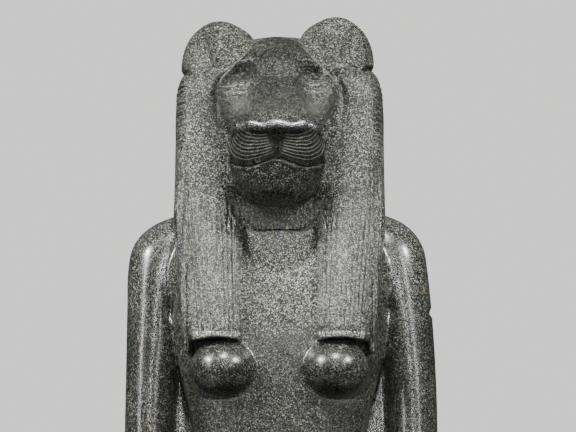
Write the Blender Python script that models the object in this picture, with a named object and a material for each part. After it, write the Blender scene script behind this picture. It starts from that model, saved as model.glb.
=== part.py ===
"""Seated lioness-headed goddess, carved with its throne, back pillar and base from one block of granodiorite.

The figure is set out on the old sculptors' grid: every place and thickness of the body is written in squares,
measured from the soles and from the figure's own upright axis, and a square is a fixed share of the figure's
height. The base, throne and back pillar have sizes of their own, in metres. The origin is the middle of the
underside of the base, +Z is up, and the figure looks along -Y.
"""

import math

import bmesh
import bpy
import numpy as np
from mathutils import Matrix, Vector

# The figure, soles to crown, in metres, and the grid that it is drawn on
FIGURE_HEIGHT = 1.838
SQUARES_TO_CROWN = 14.62
SQUARE = FIGURE_HEIGHT / SQUARES_TO_CROWN
TOE_TIP = -5.62
WIG_BACK = 1.04
SEAT = 5.0
THRONE_FRONT = -3.2
PILLAR_TOP = 13.5

# The block, in metres
BASE_HEIGHT = 0.16
BASE_FRONT_MARGIN = 0.045  # from the toes to the front edge of the base
BASE_SIDE_MARGIN = 0.013
BASE_BACK_MARGIN = 0.022
THRONE_WIDTH = 0.53
BACKREST_RISE = 0.17  # above the seat
BACKREST_DEPTH = 0.085
PILLAR_WIDTH = 0.215
PILLAR_DEPTH = 0.076  # behind the wig
PILLAR_RELIEF = 0.008  # how far the pillar stands out from the back of the throne
EDGE_WEAR = 0.006  # bevel on the edges of the block
BEVEL_SEGMENTS = 2

# The framed panel on each side of the throne, with a small framed square in its lower rear corner
PANEL_BORDER = 0.030
PANEL_SQUARE = 0.17
PANEL_DEPTH = 0.004

# How finely the figure is worked
CARVING_STEP = 0.0055
SOFTENING_PASSES = 5
FIGURE_TRIANGLES = 9500
RING_POINTS = 48
RINGS = 36
MASS_SEGMENTS = 32
MASS_RINGS = 20
LEAST_SIZE = 0.01  # in squares, where a form closes

STONE_COLOUR = (0.088, 0.092, 0.088, 1.0)
STONE_ROUGHNESS = 0.42

# Stations of the body. Each row: place along the run, middle in x, half width, low side, high side,
# squareness. A stack runs up z and its low and high sides are front and back in y; a run goes along y, and
# they are heights.
TORSO = (
    (4.90, 0, 1.50, -0.80, 0.88, 2.5),
    (5.80, 0, 1.58, -0.84, 0.90, 2.5),
    (6.60, 0, 1.38, -0.82, 0.86, 2.4),
    (7.40, 0, 1.14, -0.76, 0.80, 2.3),
    (8.30, 0, 1.08, -0.72, 0.76, 2.3),
    (9.15, 0, 1.20, -0.80, 0.78, 2.4),
    (10.00, 0, 1.42, -0.92, 0.80, 2.6),
    (10.90, 0, 1.58, -0.98, 0.80, 2.8),
    (11.50, 0, 1.66, -0.92, 0.76, 2.7),
    (11.90, 0, 1.50, -0.78, 0.70, 2.5),
    (12.25, 0, 1.05, -0.52, 0.55, 2.3),
    (12.45, 0, 0.50, -0.35, 0.40, 2.0),
)
UPPER_ARM = (
    (6.40, 1.80, 0.10, 0.00, 0.30, 2.0),
    (6.55, 1.80, 0.30, -0.26, 0.52, 2.2),
    (7.10, 1.82, 0.36, -0.44, 0.62, 2.3),
    (8.20, 1.83, 0.35, -0.46, 0.56, 2.2),
    (9.15, 1.83, 0.35, -0.47, 0.53, 2.2),
    (10.00, 1.80, 0.37, -0.50, 0.52, 2.2),
    (10.90, 1.74, 0.42, -0.54, 0.52, 2.2),
    (11.42, 1.69, 0.46, -0.56, 0.52, 2.2),
    (11.70, 1.60, 0.50, -0.54, 0.50, 2.2),
    (11.85, 1.51, 0.51, -0.50, 0.48, 2.2),
    (12.00, 1.38, 0.49, -0.44, 0.44, 2.2),
    (12.13, 1.20, 0.44, -0.34, 0.36, 2.1),
    (12.24, 1.05, 0.25, -0.15, 0.20, 2.0),
)
ARM_WEB = (
    (6.20, 1.42, 0.40, -0.24, 0.60, 4.0),
    (8.20, 1.42, 0.44, -0.10, 0.56, 4.0),
    (10.40, 1.52, 0.40, -0.06, 0.50, 4.0),
    (11.20, 1.55, 0.36, -0.02, 0.45, 3.0),
)
FOREARM = (
    (-2.95, 0.97, 0.16, 6.32, 6.62, 2.2),
    (-2.75, 0.99, 0.25, 6.20, 6.75, 2.3),
    (-2.20, 1.13, 0.28, 6.00, 6.85, 2.3),
    (-1.20, 1.45, 0.34, 5.80, 7.02, 2.4),
    (-0.30, 1.71, 0.37, 5.70, 7.16, 2.4),
    (0.30, 1.78, 0.36, 5.70, 7.18, 2.4),
    (0.52, 1.79, 0.28, 5.90, 7.05, 2.2),
    (0.62, 1.79, 0.12, 6.20, 6.80, 2.0),
)
THIGH = (
    (-4.42, 0.62, 0.12, 5.68, 5.98, 2.0),
    (-4.34, 0.62, 0.36, 5.45, 6.18, 2.3),
    (-4.05, 0.62, 0.52, 5.10, 6.32, 2.5),
    (-3.00, 0.68, 0.64, 4.92, 6.36, 2.6),
    (-1.50, 0.84, 0.86, 4.85, 6.40, 2.7),
    (0.00, 0.95, 1.00, 4.85, 6.46, 2.7),
    (0.60, 0.90, 0.90, 4.90, 6.30, 2.5),
    (0.85, 0.80, 0.50, 5.20, 6.00, 2.2),
)
SHIN = (
    (0.62, 0.50, 0.38, -4.02, -2.95, 2.5),
    (1.50, 0.50, 0.40, -4.04, -2.90, 2.5),
    (3.20, 0.53, 0.45, -4.14, -2.85, 2.4),
    (4.60, 0.57, 0.47, -4.24, -2.85, 2.4),
    (5.40, 0.60, 0.47, -4.36, -2.90, 2.4),
    (5.90, 0.61, 0.42, -4.38, -3.10, 2.3),
    (6.20, 0.62, 0.20, -4.15, -3.40, 2.0),
)
SKIRT_BETWEEN_LEGS = (
    (0.62, 0, 0.48, -3.92, -2.95, 4.0),
    (3.20, 0, 0.50, -4.03, -2.95, 4.0),
    (5.00, 0, 0.55, -4.17, -2.95, 3.6),
    (5.80, 0, 0.55, -4.24, -2.95, 3.0),
    (6.10, 0, 0.50, -4.10, -3.00, 2.5),
)
SKIRT_ON_LAP = (
    (-4.18, 0, 0.50, 5.00, 6.02, 3.0),
    (-3.00, 0, 0.60, 4.90, 6.14, 3.0),
    (0.00, 0, 0.80, 4.90, 6.30, 3.0),
)
FOOT = (
    (-5.36, 0.48, 0.22, -0.20, 0.14, 2.8),
    (-5.26, 0.48, 0.34, -0.25, 0.25, 3.0),
    (-5.00, 0.48, 0.35, -0.30, 0.36, 2.9),
    (-4.60, 0.48, 0.33, -0.35, 0.52, 2.7),
    (-4.10, 0.48, 0.30, -0.40, 0.82, 2.6),
    (-3.70, 0.48, 0.29, -0.40, 1.00, 2.5),
    (-3.10, 0.48, 0.29, -0.40, 1.00, 2.5),
    (-2.80, 0.48, 0.26, -0.40, 0.80, 2.4),
)
WIG = (
    (11.95, 0, 1.46, -0.98, 0.98, 3.2),
    (12.20, 0, 1.49, -1.08, 1.02, 3.3),
    (12.70, 0, 1.49, -1.12, WIG_BACK, 3.3),
    (13.20, 0, 1.485, -1.12, WIG_BACK, 3.2),
    (13.60, 0, 1.485, -1.10, 1.00, 3.1),
    (13.90, 0, 1.47, -1.07, 0.94, 3.0),
    (14.15, 0, 1.37, -1.02, 0.84, 2.8),
    (14.38, 0, 1.12, -0.94, 0.66, 2.6),
    (14.55, 0, 0.82, -0.84, 0.46, 2.4),
    (14.66, 0, 0.42, -0.66, 0.22, 2.2),
)
WIG_TAIL = (
    (10.90, 0, 0.95, 0.30, 0.98, 3.5),
    (11.50, 0, 1.05, 0.20, 1.02, 3.2),
    (12.30, 0, 1.35, 0.00, 1.02, 2.8),
)
LAPPET = (
    (10.34, 0.857, 0.355, -1.20, -0.50, 3.2),
    (10.90, 0.885, 0.385, -1.21, -0.40, 3.0),
    (11.50, 0.920, 0.420, -1.21, -0.20, 3.0),
    (12.10, 0.955, 0.470, -1.21, 0.00, 2.9),
    (12.60, 0.980, 0.470, -1.22, 0.00, 2.7),
    (13.10, 1.010, 0.440, -1.24, 0.00, 2.5),
    (13.50, 1.020, 0.400, -1.22, 0.00, 2.4),
    (13.85, 1.000, 0.350, -1.12, 0.00, 2.3),
    (14.10, 0.960, 0.250, -0.95, 0.00, 2.2),
)
FACE = (
    (12.30, 0, 0.56, -1.40, 0.0, 2.6),
    (12.60, 0, 0.70, -1.48, 0.0, 2.8),
    (13.00, 0, 0.70, -1.52, 0.0, 3.0),
    (13.40, 0, 0.76, -1.52, 0.0, 3.2),
    (13.76, 0, 0.87, -1.48, 0.0, 3.4),
    (14.00, 0, 0.78, -1.42, 0.0, 3.2),
    (14.24, 0, 0.60, -1.28, 0.0, 2.8),
    (14.48, 0, 0.38, -1.08, 0.0, 2.4),
    (14.60, 0, 0.20, -0.86, 0.0, 2.2),
)
SNOUT = (
    (12.12, 0, 0.30, -1.86, -0.90, 2.4),
    (12.20, 0, 0.46, -2.03, -0.90, 2.6),
    (12.35, 0, 0.57, -2.13, -0.90, 2.8),
    (12.50, 0, 0.62, -2.18, -0.90, 3.0),
    (12.62, 0, 0.655, -2.21, -0.90, 3.3),
    (12.78, 0, 0.67, -2.28, -0.90, 3.5),
    (12.98, 0, 0.665, -2.345, -0.90, 3.5),
    (13.10, 0, 0.65, -2.37, -0.90, 3.4),
    (13.19, 0, 0.61, -2.36, -0.90, 3.2),
    (13.27, 0, 0.52, -2.27, -0.90, 3.0),
)
MUZZLE = (
    (-2.25, 0, 0.50, 12.80, 13.22, 3.6),
    (-2.00, 0, 0.62, 12.60, 13.38, 3.8),
    (-1.60, 0, 0.70, 12.44, 13.62, 3.2),
    (-1.20, 0, 0.72, 12.30, 13.84, 2.8),
    (-0.80, 0, 0.66, 12.30, 13.84, 2.8),
)
NOSE_BRIDGE = (
    (-2.36, 0, 0.38, 13.00, 13.20, 3.0),
    (-2.31, 0, 0.46, 12.95, 13.28, 3.6),
    (-2.10, 0, 0.43, 12.95, 13.46, 4.0),
    (-1.75, 0, 0.35, 13.00, 13.73, 4.0),
    (-1.48, 0, 0.29, 13.10, 13.95, 3.6),
    (-1.20, 0, 0.34, 13.20, 14.16, 3.0),
    (-0.95, 0, 0.32, 13.40, 14.32, 2.6),
)
RUFF = (
    (11.10, 0, 0.46, -0.90, 0.0, 2.4),
    (11.50, 0, 0.60, -1.04, 0.0, 2.5),
    (11.90, 0, 0.74, -1.17, 0.0, 2.6),
    (12.30, 0, 0.88, -1.28, 0.0, 2.6),
    (12.80, 0, 0.96, -1.30, 0.0, 2.6),
    (13.30, 0, 1.00, -1.24, 0.0, 2.6),
)

# Rounded masses. Each row: middle in x, y, z, then half sizes in x, y, z.
BREAST = (0.77, -0.80, 9.93, 0.46, 0.47, 0.43)
BREAST_ROOT = (0.74, -0.72, 10.04, 0.62, 0.36, 0.60)
CHEEK = (0.68, -1.26, 13.56, 0.22, 0.30, 0.36)
KNEE = (0.62, -4.10, 5.84, 0.42, 0.29, 0.50)
EAR = (0.845, -0.40, 14.42, 0.520, 0.36, 0.515)

# Places pressed in or raised. Each row: middle in x, y, z, reach in x, y, z, width of the edge, and the push
# in y.
EAR_HOLLOW = (0.76, -0.66, 14.46, 0.34, 0.40, 0.37, 0.6, 0.24)
EYE_SOCKET = (0.58, -1.45, 14.05, 0.26, 0.60, 0.22, 1.0, 0.19)
EYE = (0.58, -1.45, 13.87, 0.17, 0.60, 0.09, 0.9, -0.06)
FLANK_OF_NOSE = (0.62, -1.70, 13.52, 0.26, 0.60, 0.36, 1.0, 0.09)

# A carver's freehand: at +X the ear and shoulder are set a little higher than on the other side, and the ear
# a little nearer the middle.
EAR_RISE = 0.06
EAR_INWARD = 0.04
SHOULDER_RISE = 0.02

# The right hand lies flat; the left is a fist round the loop of an ankh, whose arms and stem lie on the
# thigh.
PALM = (
    (-3.45, 0.80, 0.33, 6.20, 6.54, 2.8),
    (-3.20, 0.84, 0.34, 6.20, 6.60, 2.8),
    (-2.80, 0.95, 0.28, 6.20, 6.68, 2.6),
    (-2.60, 1.00, 0.20, 6.25, 6.65, 2.2),
)
FIST = (
    (-3.42, 0.80, 0.22, 6.28, 6.62, 2.6),
    (-3.32, 0.81, 0.33, 6.20, 6.76, 3.0),
    (-2.95, 0.86, 0.35, 6.20, 6.82, 3.0),
    (-2.70, 0.95, 0.28, 6.20, 6.78, 2.6),
    (-2.60, 0.98, 0.16, 6.30, 6.68, 2.2),
)
HAND_MIDDLE = 0.80
FINGER_ROOT = -3.10
FINGER_TOP = 6.54
FINGER_HALF_WIDTH = 0.098
FINGER_LENGTHS = (0.82, 0.94, 0.90, 0.74)  # from the thumb side outwards
THUMB = (0.36, -3.46, -2.80, 0.090)  # middle in x, tip, root, half width
ANKH_STEM_END = -4.16
ANKH_CROSSING = -3.55
ANKH_ARM = 0.34
ANKH_BAR = 0.075
ANKH_TOP = 6.44
ANKH_FOOT = 6.0  # inside the thigh
ANKH_WEAR = 0.002

# A finger or a toe, in its own half widths. Each row: place behind the tip, half width, underside and top
# measured from the top of the digit, squareness. The last one is carried on to the root.
DIGIT = (
    (0.0, 0.3, -2.2, -1.3, 2.2),
    (0.5, 0.8, -3.0, -0.5, 2.4),
    (2.5, 1.0, -3.0, 0.0, 2.4),
)
THUMB_ON_FIST = (1.5, 1.0)  # how far out and up the thumb of the fist lies, in its half widths

# Toes, from the big one outwards: each a half width, and how far its tip stands back from the first
TOES = ((0.115, 0.00), (0.082, 0.02), (0.078, 0.07), (0.074, 0.13), (0.070, 0.20))
TOE_ROOT = -5.15
TOE_HEIGHT = 2.4  # in half widths
TOE_SPACING = 1.9
FOOT_INNER_EDGE = 0.14


def clear_scene():
    for item in list(bpy.data.objects):
        bpy.data.objects.remove(item, do_unlink=True)


def granodiorite():
    stone = bpy.data.materials.new("granodiorite")
    stone.use_nodes = True
    shader = stone.node_tree.nodes["Principled BSDF"]
    shader.inputs["Base Color"].default_value = STONE_COLOUR
    shader.inputs["Roughness"].default_value = STONE_ROUGHNESS
    shader.inputs["Metallic"].default_value = 0.0
    return stone


def base_depth():
    """From in front of the toes to behind the throne, whose back is the back of the pillar."""
    return BASE_FRONT_MARGIN + (WIG_BACK - TOE_TIP) * SQUARE + PILLAR_DEPTH + BASE_BACK_MARGIN


def figure_y():
    """World y of the figure's own axis."""
    return -base_depth() / 2 + BASE_FRONT_MARGIN - TOE_TIP * SQUARE


def pillar_back():
    return base_depth() / 2 - BASE_BACK_MARGIN


def throne_back():
    return pillar_back() - PILLAR_RELIEF


def throne_front():
    return figure_y() + THRONE_FRONT * SQUARE


def height(squares):
    """World z of a height given in squares above the soles."""
    return BASE_HEIGHT + squares * SQUARE


def from_squares(points):
    """Points on the grid as points in metres."""
    return np.asarray(points, float) * SQUARE + (0.0, figure_y(), BASE_HEIGHT)


def through(stations, places):
    """Values on a smooth curve through the stations, at each place along them."""
    table = np.array(stations, float)
    knots, values = table[:, 0], table[:, 1:]
    slopes = np.gradient(values, knots, axis=0)
    after = np.clip(np.searchsorted(knots, places), 1, len(knots) - 1)
    span = (knots[after] - knots[after - 1])[:, None]
    t = (places - knots[after - 1])[:, None] / span
    start = (2 * t**3 - 3 * t**2 + 1) * values[after - 1]
    leave = (t**3 - 2 * t**2 + t) * span * slopes[after - 1]
    end = (3 * t**2 - 2 * t**3) * values[after]
    arrive = (t**3 - t**2) * span * slopes[after]
    return start + leave + end + arrive


def outline(half_a, half_b, squareness):
    """A closed outline between an ellipse, at squareness 2, and a box with round corners."""
    turn = np.linspace(0, 2 * math.pi, RING_POINTS, endpoint=False)
    power = 2 / squareness
    a = half_a * np.sign(np.cos(turn)) * np.abs(np.cos(turn)) ** power
    b = half_b * np.sign(np.sin(turn)) * np.abs(np.sin(turn)) ** power
    return a, b


def loft(body, stations, along, side=1):
    """Adds a closed form through stations that run up z or along y, mirrored in x where side is -1."""
    places = np.linspace(stations[0][0], stations[-1][0], RINGS)
    rings = []
    for place, (middle, half, low, high, squareness) in zip(places, through(stations, places)):
        a, b = outline(max(half, LEAST_SIZE), max(high - low, LEAST_SIZE) / 2, squareness)
        x, across = side * (middle + a), (low + high) / 2 + b
        level = np.full_like(x, place)
        ring = np.stack([x, across, level] if along == "z" else [x, level, across], axis=1)
        rings.append([body.verts.new(point) for point in from_squares(ring)])
    faces = [body.faces.new(rings[0]), body.faces.new(rings[-1])]
    for lower, upper in zip(rings, rings[1:]):
        for i in range(RING_POINTS):
            j = (i + 1) % RING_POINTS
            faces.append(body.faces.new((lower[i], lower[j], upper[j], upper[i])))
    bmesh.ops.recalc_face_normals(body, faces=faces)


def raised(stations, rise):
    """The same stations of an upright stack, set higher."""
    return tuple((row[0] + rise, *row[1:]) for row in stations)


def moved_ear(place, side):
    """A mass or a press of the ear, moved to where that side's ear is."""
    x, y, z, *rest = place
    return (x - EAR_INWARD, y, z + EAR_RISE, *rest) if side == 1 else place


def rounded_mass(body, mass, side):
    """Adds an ellipsoid to the body."""
    x, y, z, *half = mass
    middle = Vector(from_squares((side * x, y, z)))
    sizes = Matrix.Diagonal([*(size * SQUARE for size in half), 1.0])
    place = Matrix.Translation(middle) @ sizes
    bmesh.ops.create_uvsphere(body, u_segments=MASS_SEGMENTS, v_segments=MASS_RINGS, radius=1.0, matrix=place)


def box(body, low, high, wear):
    """Adds a box to the body, from its lowest to its highest corner in metres, with worn edges."""
    low, high = Vector(low), Vector(high)
    size = Matrix.Diagonal([*(high - low), 1.0])
    made = bmesh.ops.create_cube(body, size=1.0, matrix=Matrix.Translation((low + high) / 2) @ size)
    edges = list({edge for vert in made["verts"] for edge in vert.link_edges})
    bmesh.ops.bevel(body, geom=edges, offset=wear, segments=BEVEL_SEGMENTS, affect="EDGES", profile=0.5)


def prism(body, profile, low_x, high_x):
    """Adds a side-on profile of y and z, carried across from low_x to high_x, and returns its faces."""
    face = body.faces.new([body.verts.new((low_x, y, z)) for y, z in profile])
    swept = bmesh.ops.extrude_face_region(body, geom=[face])["geom"]
    ends = [item for item in swept if isinstance(item, bmesh.types.BMVert)]
    bmesh.ops.translate(body, verts=ends, vec=(high_x - low_x, 0, 0))
    faces = list({near for vert in (*face.verts, *ends) for near in vert.link_faces})
    bmesh.ops.recalc_face_normals(body, faces=faces)
    return faces


def digit(body, middle, half, tip, root, top, side):
    """Adds a finger or a toe, lying along y."""
    rows = [
        (tip + behind * half, middle, wide * half, top + under * half, top + over * half, squareness)
        for behind, wide, under, over, squareness in DIGIT
    ]
    loft(body, (*rows, (root, *rows[-1][1:])), "y", side)


def flat_hand(body, side):
    loft(body, PALM, "y", side)
    count = len(FINGER_LENGTHS)
    for i, length in enumerate(FINGER_LENGTHS):
        middle = HAND_MIDDLE + (i - (count - 1) / 2) * 2 * FINGER_HALF_WIDTH
        digit(body, middle, FINGER_HALF_WIDTH, FINGER_ROOT - length, FINGER_ROOT, FINGER_TOP, side)
    middle, tip, root, half = THUMB
    digit(body, middle, half, tip, root, FINGER_TOP, side)


def fist_with_ankh(body, side):
    loft(body, FIST, "y", side)
    middle, tip, root, half = THUMB
    aside, above = THUMB_ON_FIST
    digit(body, middle + aside * half, half, tip, root, FINGER_TOP + above * half, side)
    bars = (
        (HAND_MIDDLE - ANKH_BAR, HAND_MIDDLE + ANKH_BAR, ANKH_STEM_END, FINGER_ROOT),
        (HAND_MIDDLE - ANKH_ARM, HAND_MIDDLE + ANKH_ARM, ANKH_CROSSING - ANKH_BAR, ANKH_CROSSING + ANKH_BAR),
    )
    for left, right, front, back in bars:
        corners = from_squares(((side * left, front, ANKH_FOOT), (side * right, back, ANKH_TOP)))
        box(body, corners.min(axis=0), corners.max(axis=0), ANKH_WEAR)


def foot(body, side):
    loft(body, FOOT, "y", side)
    inner = FOOT_INNER_EDGE
    for half, behind in TOES:
        digit(body, inner + half, half, TOE_TIP + behind, TOE_ROOT, TOE_HEIGHT * half, side)
        inner += TOE_SPACING * half


def carved_figure():
    """The whole figure as overlapping closed forms, in one bmesh."""
    body = bmesh.new()
    for stations in (TORSO, SKIRT_BETWEEN_LEGS, WIG, WIG_TAIL, RUFF, FACE, SNOUT):
        loft(body, stations, "z")
    for stations in (SKIRT_ON_LAP, MUZZLE, NOSE_BRIDGE):
        loft(body, stations, "y")
    for side in (-1, 1):
        higher = side == 1
        arm = [raised(rows, SHOULDER_RISE * higher) for rows in (UPPER_ARM, ARM_WEB)]
        for stations in (*arm, SHIN, LAPPET):
            loft(body, stations, "z", side)
        for stations in (FOREARM, THIGH):
            loft(body, stations, "y", side)
        for mass in (BREAST, BREAST_ROOT, CHEEK, KNEE, moved_ear(EAR, side)):
            rounded_mass(body, mass, side)
        foot(body, side)
    flat_hand(body, -1)
    fist_with_ankh(body, 1)
    return body


def press(points, place, side):
    """Moves the points near a place along y by the place's push, fading out over the width of its edge."""
    x, y, z, reach_x, reach_y, reach_z, edge, push = place
    middle = from_squares((side * x, y, z))
    far = np.linalg.norm((points - middle) / (np.array([reach_x, reach_y, reach_z]) * SQUARE), axis=1)
    fade = np.clip((1 - far) / edge, 0, 1)
    points[:, 1] += fade**2 * (3 - 2 * fade) * push * SQUARE


def press_features(mesh):
    points = np.empty(len(mesh.vertices) * 3)
    mesh.vertices.foreach_get("co", points)
    points = points.reshape(-1, 3)
    for side in (-1, 1):
        for place in (moved_ear(EAR_HOLLOW, side), EYE_SOCKET, FLANK_OF_NOSE, EYE):
            press(points, place, side)
    mesh.vertices.foreach_set("co", points.ravel())


def object_from(body, name, helper=False):
    mesh = bpy.data.meshes.new(name)
    body.to_mesh(mesh)
    body.free()
    item = bpy.data.objects.new(name, mesh)
    bpy.context.scene.collection.objects.link(item)
    if helper:
        item.hide_render = True
        item.display_type = "WIRE"
    return item


def base():
    body = bmesh.new()
    half_width, half_depth = THRONE_WIDTH / 2 + BASE_SIDE_MARGIN, base_depth() / 2
    box(body, (-half_width, -half_depth, 0), (half_width, half_depth, BASE_HEIGHT), EDGE_WEAR)
    return object_from(body, "block", helper=True)


def throne():
    """The seat and its low backrest, starting inside the base."""
    front, back, sunk = throne_front(), throne_back(), BASE_HEIGHT / 2
    seat = height(SEAT)
    profile = (
        (front, sunk),
        (back, sunk),
        (back, seat + BACKREST_RISE),
        (back - BACKREST_DEPTH, seat + BACKREST_RISE),
        (back - BACKREST_DEPTH, seat),
        (front, seat),
    )
    body = bmesh.new()
    faces = prism(body, profile, -THRONE_WIDTH / 2, THRONE_WIDTH / 2)
    edges = list({edge for face in faces for edge in face.edges})
    bmesh.ops.bevel(
        body, geom=edges, offset=EDGE_WEAR, segments=BEVEL_SEGMENTS, affect="EDGES", profile=0.5
    )
    return object_from(body, "throne", helper=True)


def pillar():
    """The back pillar, from inside the base to behind the head."""
    body = bmesh.new()
    half = PILLAR_WIDTH / 2
    low, high = (-half, figure_y(), BASE_HEIGHT / 2), (half, pillar_back(), height(PILLAR_TOP))
    box(body, low, high, EDGE_WEAR)
    return object_from(body, "pillar", helper=True)


def throne_panels():
    """Cutters for the recessed panel on each side of the throne and for the framed square in its corner."""
    front, back = throne_front() + PANEL_BORDER, throne_back() - PANEL_BORDER
    low, high = BASE_HEIGHT + PANEL_BORDER, height(SEAT) - PANEL_BORDER
    corner_y, corner_z = back - PANEL_SQUARE, low + PANEL_SQUARE
    around = (
        (front, low),
        (corner_y - PANEL_BORDER, low),
        (corner_y - PANEL_BORDER, corner_z + PANEL_BORDER),
        (back, corner_z + PANEL_BORDER),
        (back, high),
        (front, high),
    )
    square = ((corner_y, low), (back, low), (back, corner_z), (corner_y, corner_z))
    floor_x = THRONE_WIDTH / 2 - PANEL_DEPTH
    body = bmesh.new()
    for side in (-1, 1):
        for profile in (around, square):
            prism(body, profile, side * floor_x, side * (floor_x + 2 * PANEL_DEPTH))
    return object_from(body, "panels", helper=True)


def block():
    """The base, throne and back pillar as one body."""
    whole = base()
    join(whole, throne(), "UNION")
    join(whole, pillar(), "UNION")
    join(whole, throne_panels(), "DIFFERENCE")
    return whole


def join(item, other, operation):
    change = item.modifiers.new(other.name, "BOOLEAN")
    change.object = other
    change.operation = operation
    change.solver = "EXACT"


def settled(item):
    """A copy of the object's mesh with its modifiers applied."""
    bpy.context.view_layer.update()
    graph = bpy.context.evaluated_depsgraph_get()
    return bpy.data.meshes.new_from_object(item.evaluated_get(graph))


def statue():
    figure = object_from(carved_figure(), "statue")
    remesh = figure.modifiers.new("one_surface", "REMESH")
    remesh.mode = "VOXEL"
    remesh.voxel_size = CARVING_STEP
    surface = settled(figure)
    figure.modifiers.clear()
    press_features(surface)
    figure.data = surface
    soften = figure.modifiers.new("soften", "SMOOTH")
    soften.factor = 0.5
    soften.iterations = SOFTENING_PASSES
    thin = figure.modifiers.new("few_faces", "DECIMATE")
    thin.ratio = FIGURE_TRIANGLES / sum(len(face.vertices) - 2 for face in surface.polygons)
    join(figure, block(), "UNION")
    return figure


clear_scene()
figure = statue()
figure.data.materials.clear()
figure.data.materials.append(granodiorite())
figure.data.shade_smooth()
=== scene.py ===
"""Looks of the seated lioness-headed statue: its carving as one mesh, the stone, the light and the camera.

The figure is laid out on the same sculptors' grid as the solid, so places on it are in squares: x to its left
side, y backwards from its own upright axis and z up from its soles. Four surfaces are carved, each as finely
as it needs, and then made one: face, hair with ears, body, and the block of base, throne and pillar.
"""

import math

import bmesh
import bpy
import numpy as np
from mathutils import Matrix, Vector


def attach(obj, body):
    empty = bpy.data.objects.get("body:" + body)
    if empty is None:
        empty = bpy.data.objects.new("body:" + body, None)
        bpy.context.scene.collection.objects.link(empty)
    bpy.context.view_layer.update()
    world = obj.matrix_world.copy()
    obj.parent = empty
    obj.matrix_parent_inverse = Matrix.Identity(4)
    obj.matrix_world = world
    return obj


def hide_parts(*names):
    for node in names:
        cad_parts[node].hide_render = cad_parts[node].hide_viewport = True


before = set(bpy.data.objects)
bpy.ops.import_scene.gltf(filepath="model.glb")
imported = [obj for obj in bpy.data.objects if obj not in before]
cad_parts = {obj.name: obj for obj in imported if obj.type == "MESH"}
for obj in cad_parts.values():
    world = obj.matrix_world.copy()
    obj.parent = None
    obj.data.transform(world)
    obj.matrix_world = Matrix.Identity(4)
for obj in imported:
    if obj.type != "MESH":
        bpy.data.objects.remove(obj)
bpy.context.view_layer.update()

# The figure, soles to crown, in metres, and the grid that it is drawn on
FIGURE_HEIGHT = 1.838
SQUARES_TO_CROWN = 14.62
SQUARE = FIGURE_HEIGHT / SQUARES_TO_CROWN
TOE_TIP = -5.62
WIG_BACK = 1.04
SEAT = 5.0
THRONE_FRONT = -3.2
PILLAR_TOP = 13.5

# The block, in metres
BASE_HEIGHT = 0.16
BASE_FRONT_MARGIN = 0.045
BASE_SIDE_MARGIN = 0.013
BASE_BACK_MARGIN = 0.022
THRONE_WIDTH = 0.53
BACKREST_RISE = 0.17
BACKREST_DEPTH = 0.085
PILLAR_WIDTH = 0.215
PILLAR_DEPTH = 0.076
PILLAR_RELIEF = 0.008
EDGE_WEAR = 0.006
WEAR_SEGMENTS = 3
WEAR_PROFILE = 0.5
PANEL_BORDER = 0.03
PANEL_SQUARE = 0.17
PANEL_DEPTH = 0.004

# How finely each surface is carved, in metres, and how many triangles it keeps
COARSER = 1.0
FACE_STEP = 0.001 * COARSER
HAIR_STEP = 0.0016 * COARSER
BODY_STEP = 0.003 * COARSER
FACE_TRIANGLES = 80000
HAIR_TRIANGLES = 130000
BODY_TRIANGLES = 52000
FACE_PASSES = (16, 4)  # of smoothing, before and after the first carving
HAIR_PASSES = (8, 5)
BODY_PASSES = 14
SOFTENING = 0.5
RING_POINTS = 96
RINGS = 72
MASS_RINGS = 40
LEAST_SIZE = 0.01  # in squares, where a form closes

# Stations. Each row: place along the run, middle in x, half width, low side, high side, squareness. A stack
# runs up z and its low and high sides are front and back in y; a run goes along y, and they are heights.
TORSO = (
    (4.9, 0, 1.5, -0.8, 0.88, 2.5),
    (5.8, 0, 1.58, -0.84, 0.9, 2.5),
    (6.6, 0, 1.38, -0.82, 0.86, 2.4),
    (7.4, 0, 1.14, -0.76, 0.8, 2.3),
    (8.3, 0, 1.08, -0.72, 0.76, 2.3),
    (9.15, 0, 1.2, -0.8, 0.78, 2.4),
    (10.0, 0, 1.42, -0.92, 0.8, 2.6),
    (10.9, 0, 1.58, -0.98, 0.8, 2.8),
    (11.5, 0, 1.66, -0.92, 0.76, 2.7),
    (11.9, 0, 1.5, -0.78, 0.7, 2.5),
    (12.25, 0, 1.05, -0.52, 0.55, 2.3),
    (12.45, 0, 0.5, -0.35, 0.4, 2.0),
)
UPPER_ARM = (
    (6.4, 1.8, 0.1, 0.0, 0.3, 2.0),
    (6.55, 1.8, 0.3, -0.26, 0.52, 2.2),
    (7.1, 1.82, 0.36, -0.44, 0.62, 2.3),
    (8.2, 1.83, 0.35, -0.46, 0.56, 2.2),
    (9.15, 1.83, 0.35, -0.47, 0.53, 2.2),
    (10.0, 1.8, 0.37, -0.5, 0.52, 2.2),
    (10.9, 1.74, 0.42, -0.54, 0.52, 2.2),
    (11.42, 1.69, 0.46, -0.56, 0.52, 2.2),
    (11.7, 1.6, 0.5, -0.54, 0.5, 2.2),
    (11.85, 1.51, 0.51, -0.5, 0.48, 2.2),
    (12.0, 1.38, 0.49, -0.44, 0.44, 2.2),
    (12.13, 1.2, 0.44, -0.34, 0.36, 2.1),
    (12.24, 1.05, 0.25, -0.15, 0.2, 2.0),
)
ARM_WEB = (
    (6.2, 1.42, 0.4, -0.24, 0.6, 4.0),
    (8.2, 1.42, 0.44, -0.1, 0.56, 4.0),
    (10.4, 1.52, 0.4, -0.06, 0.5, 4.0),
    (11.2, 1.55, 0.36, -0.02, 0.45, 3.0),
)
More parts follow.
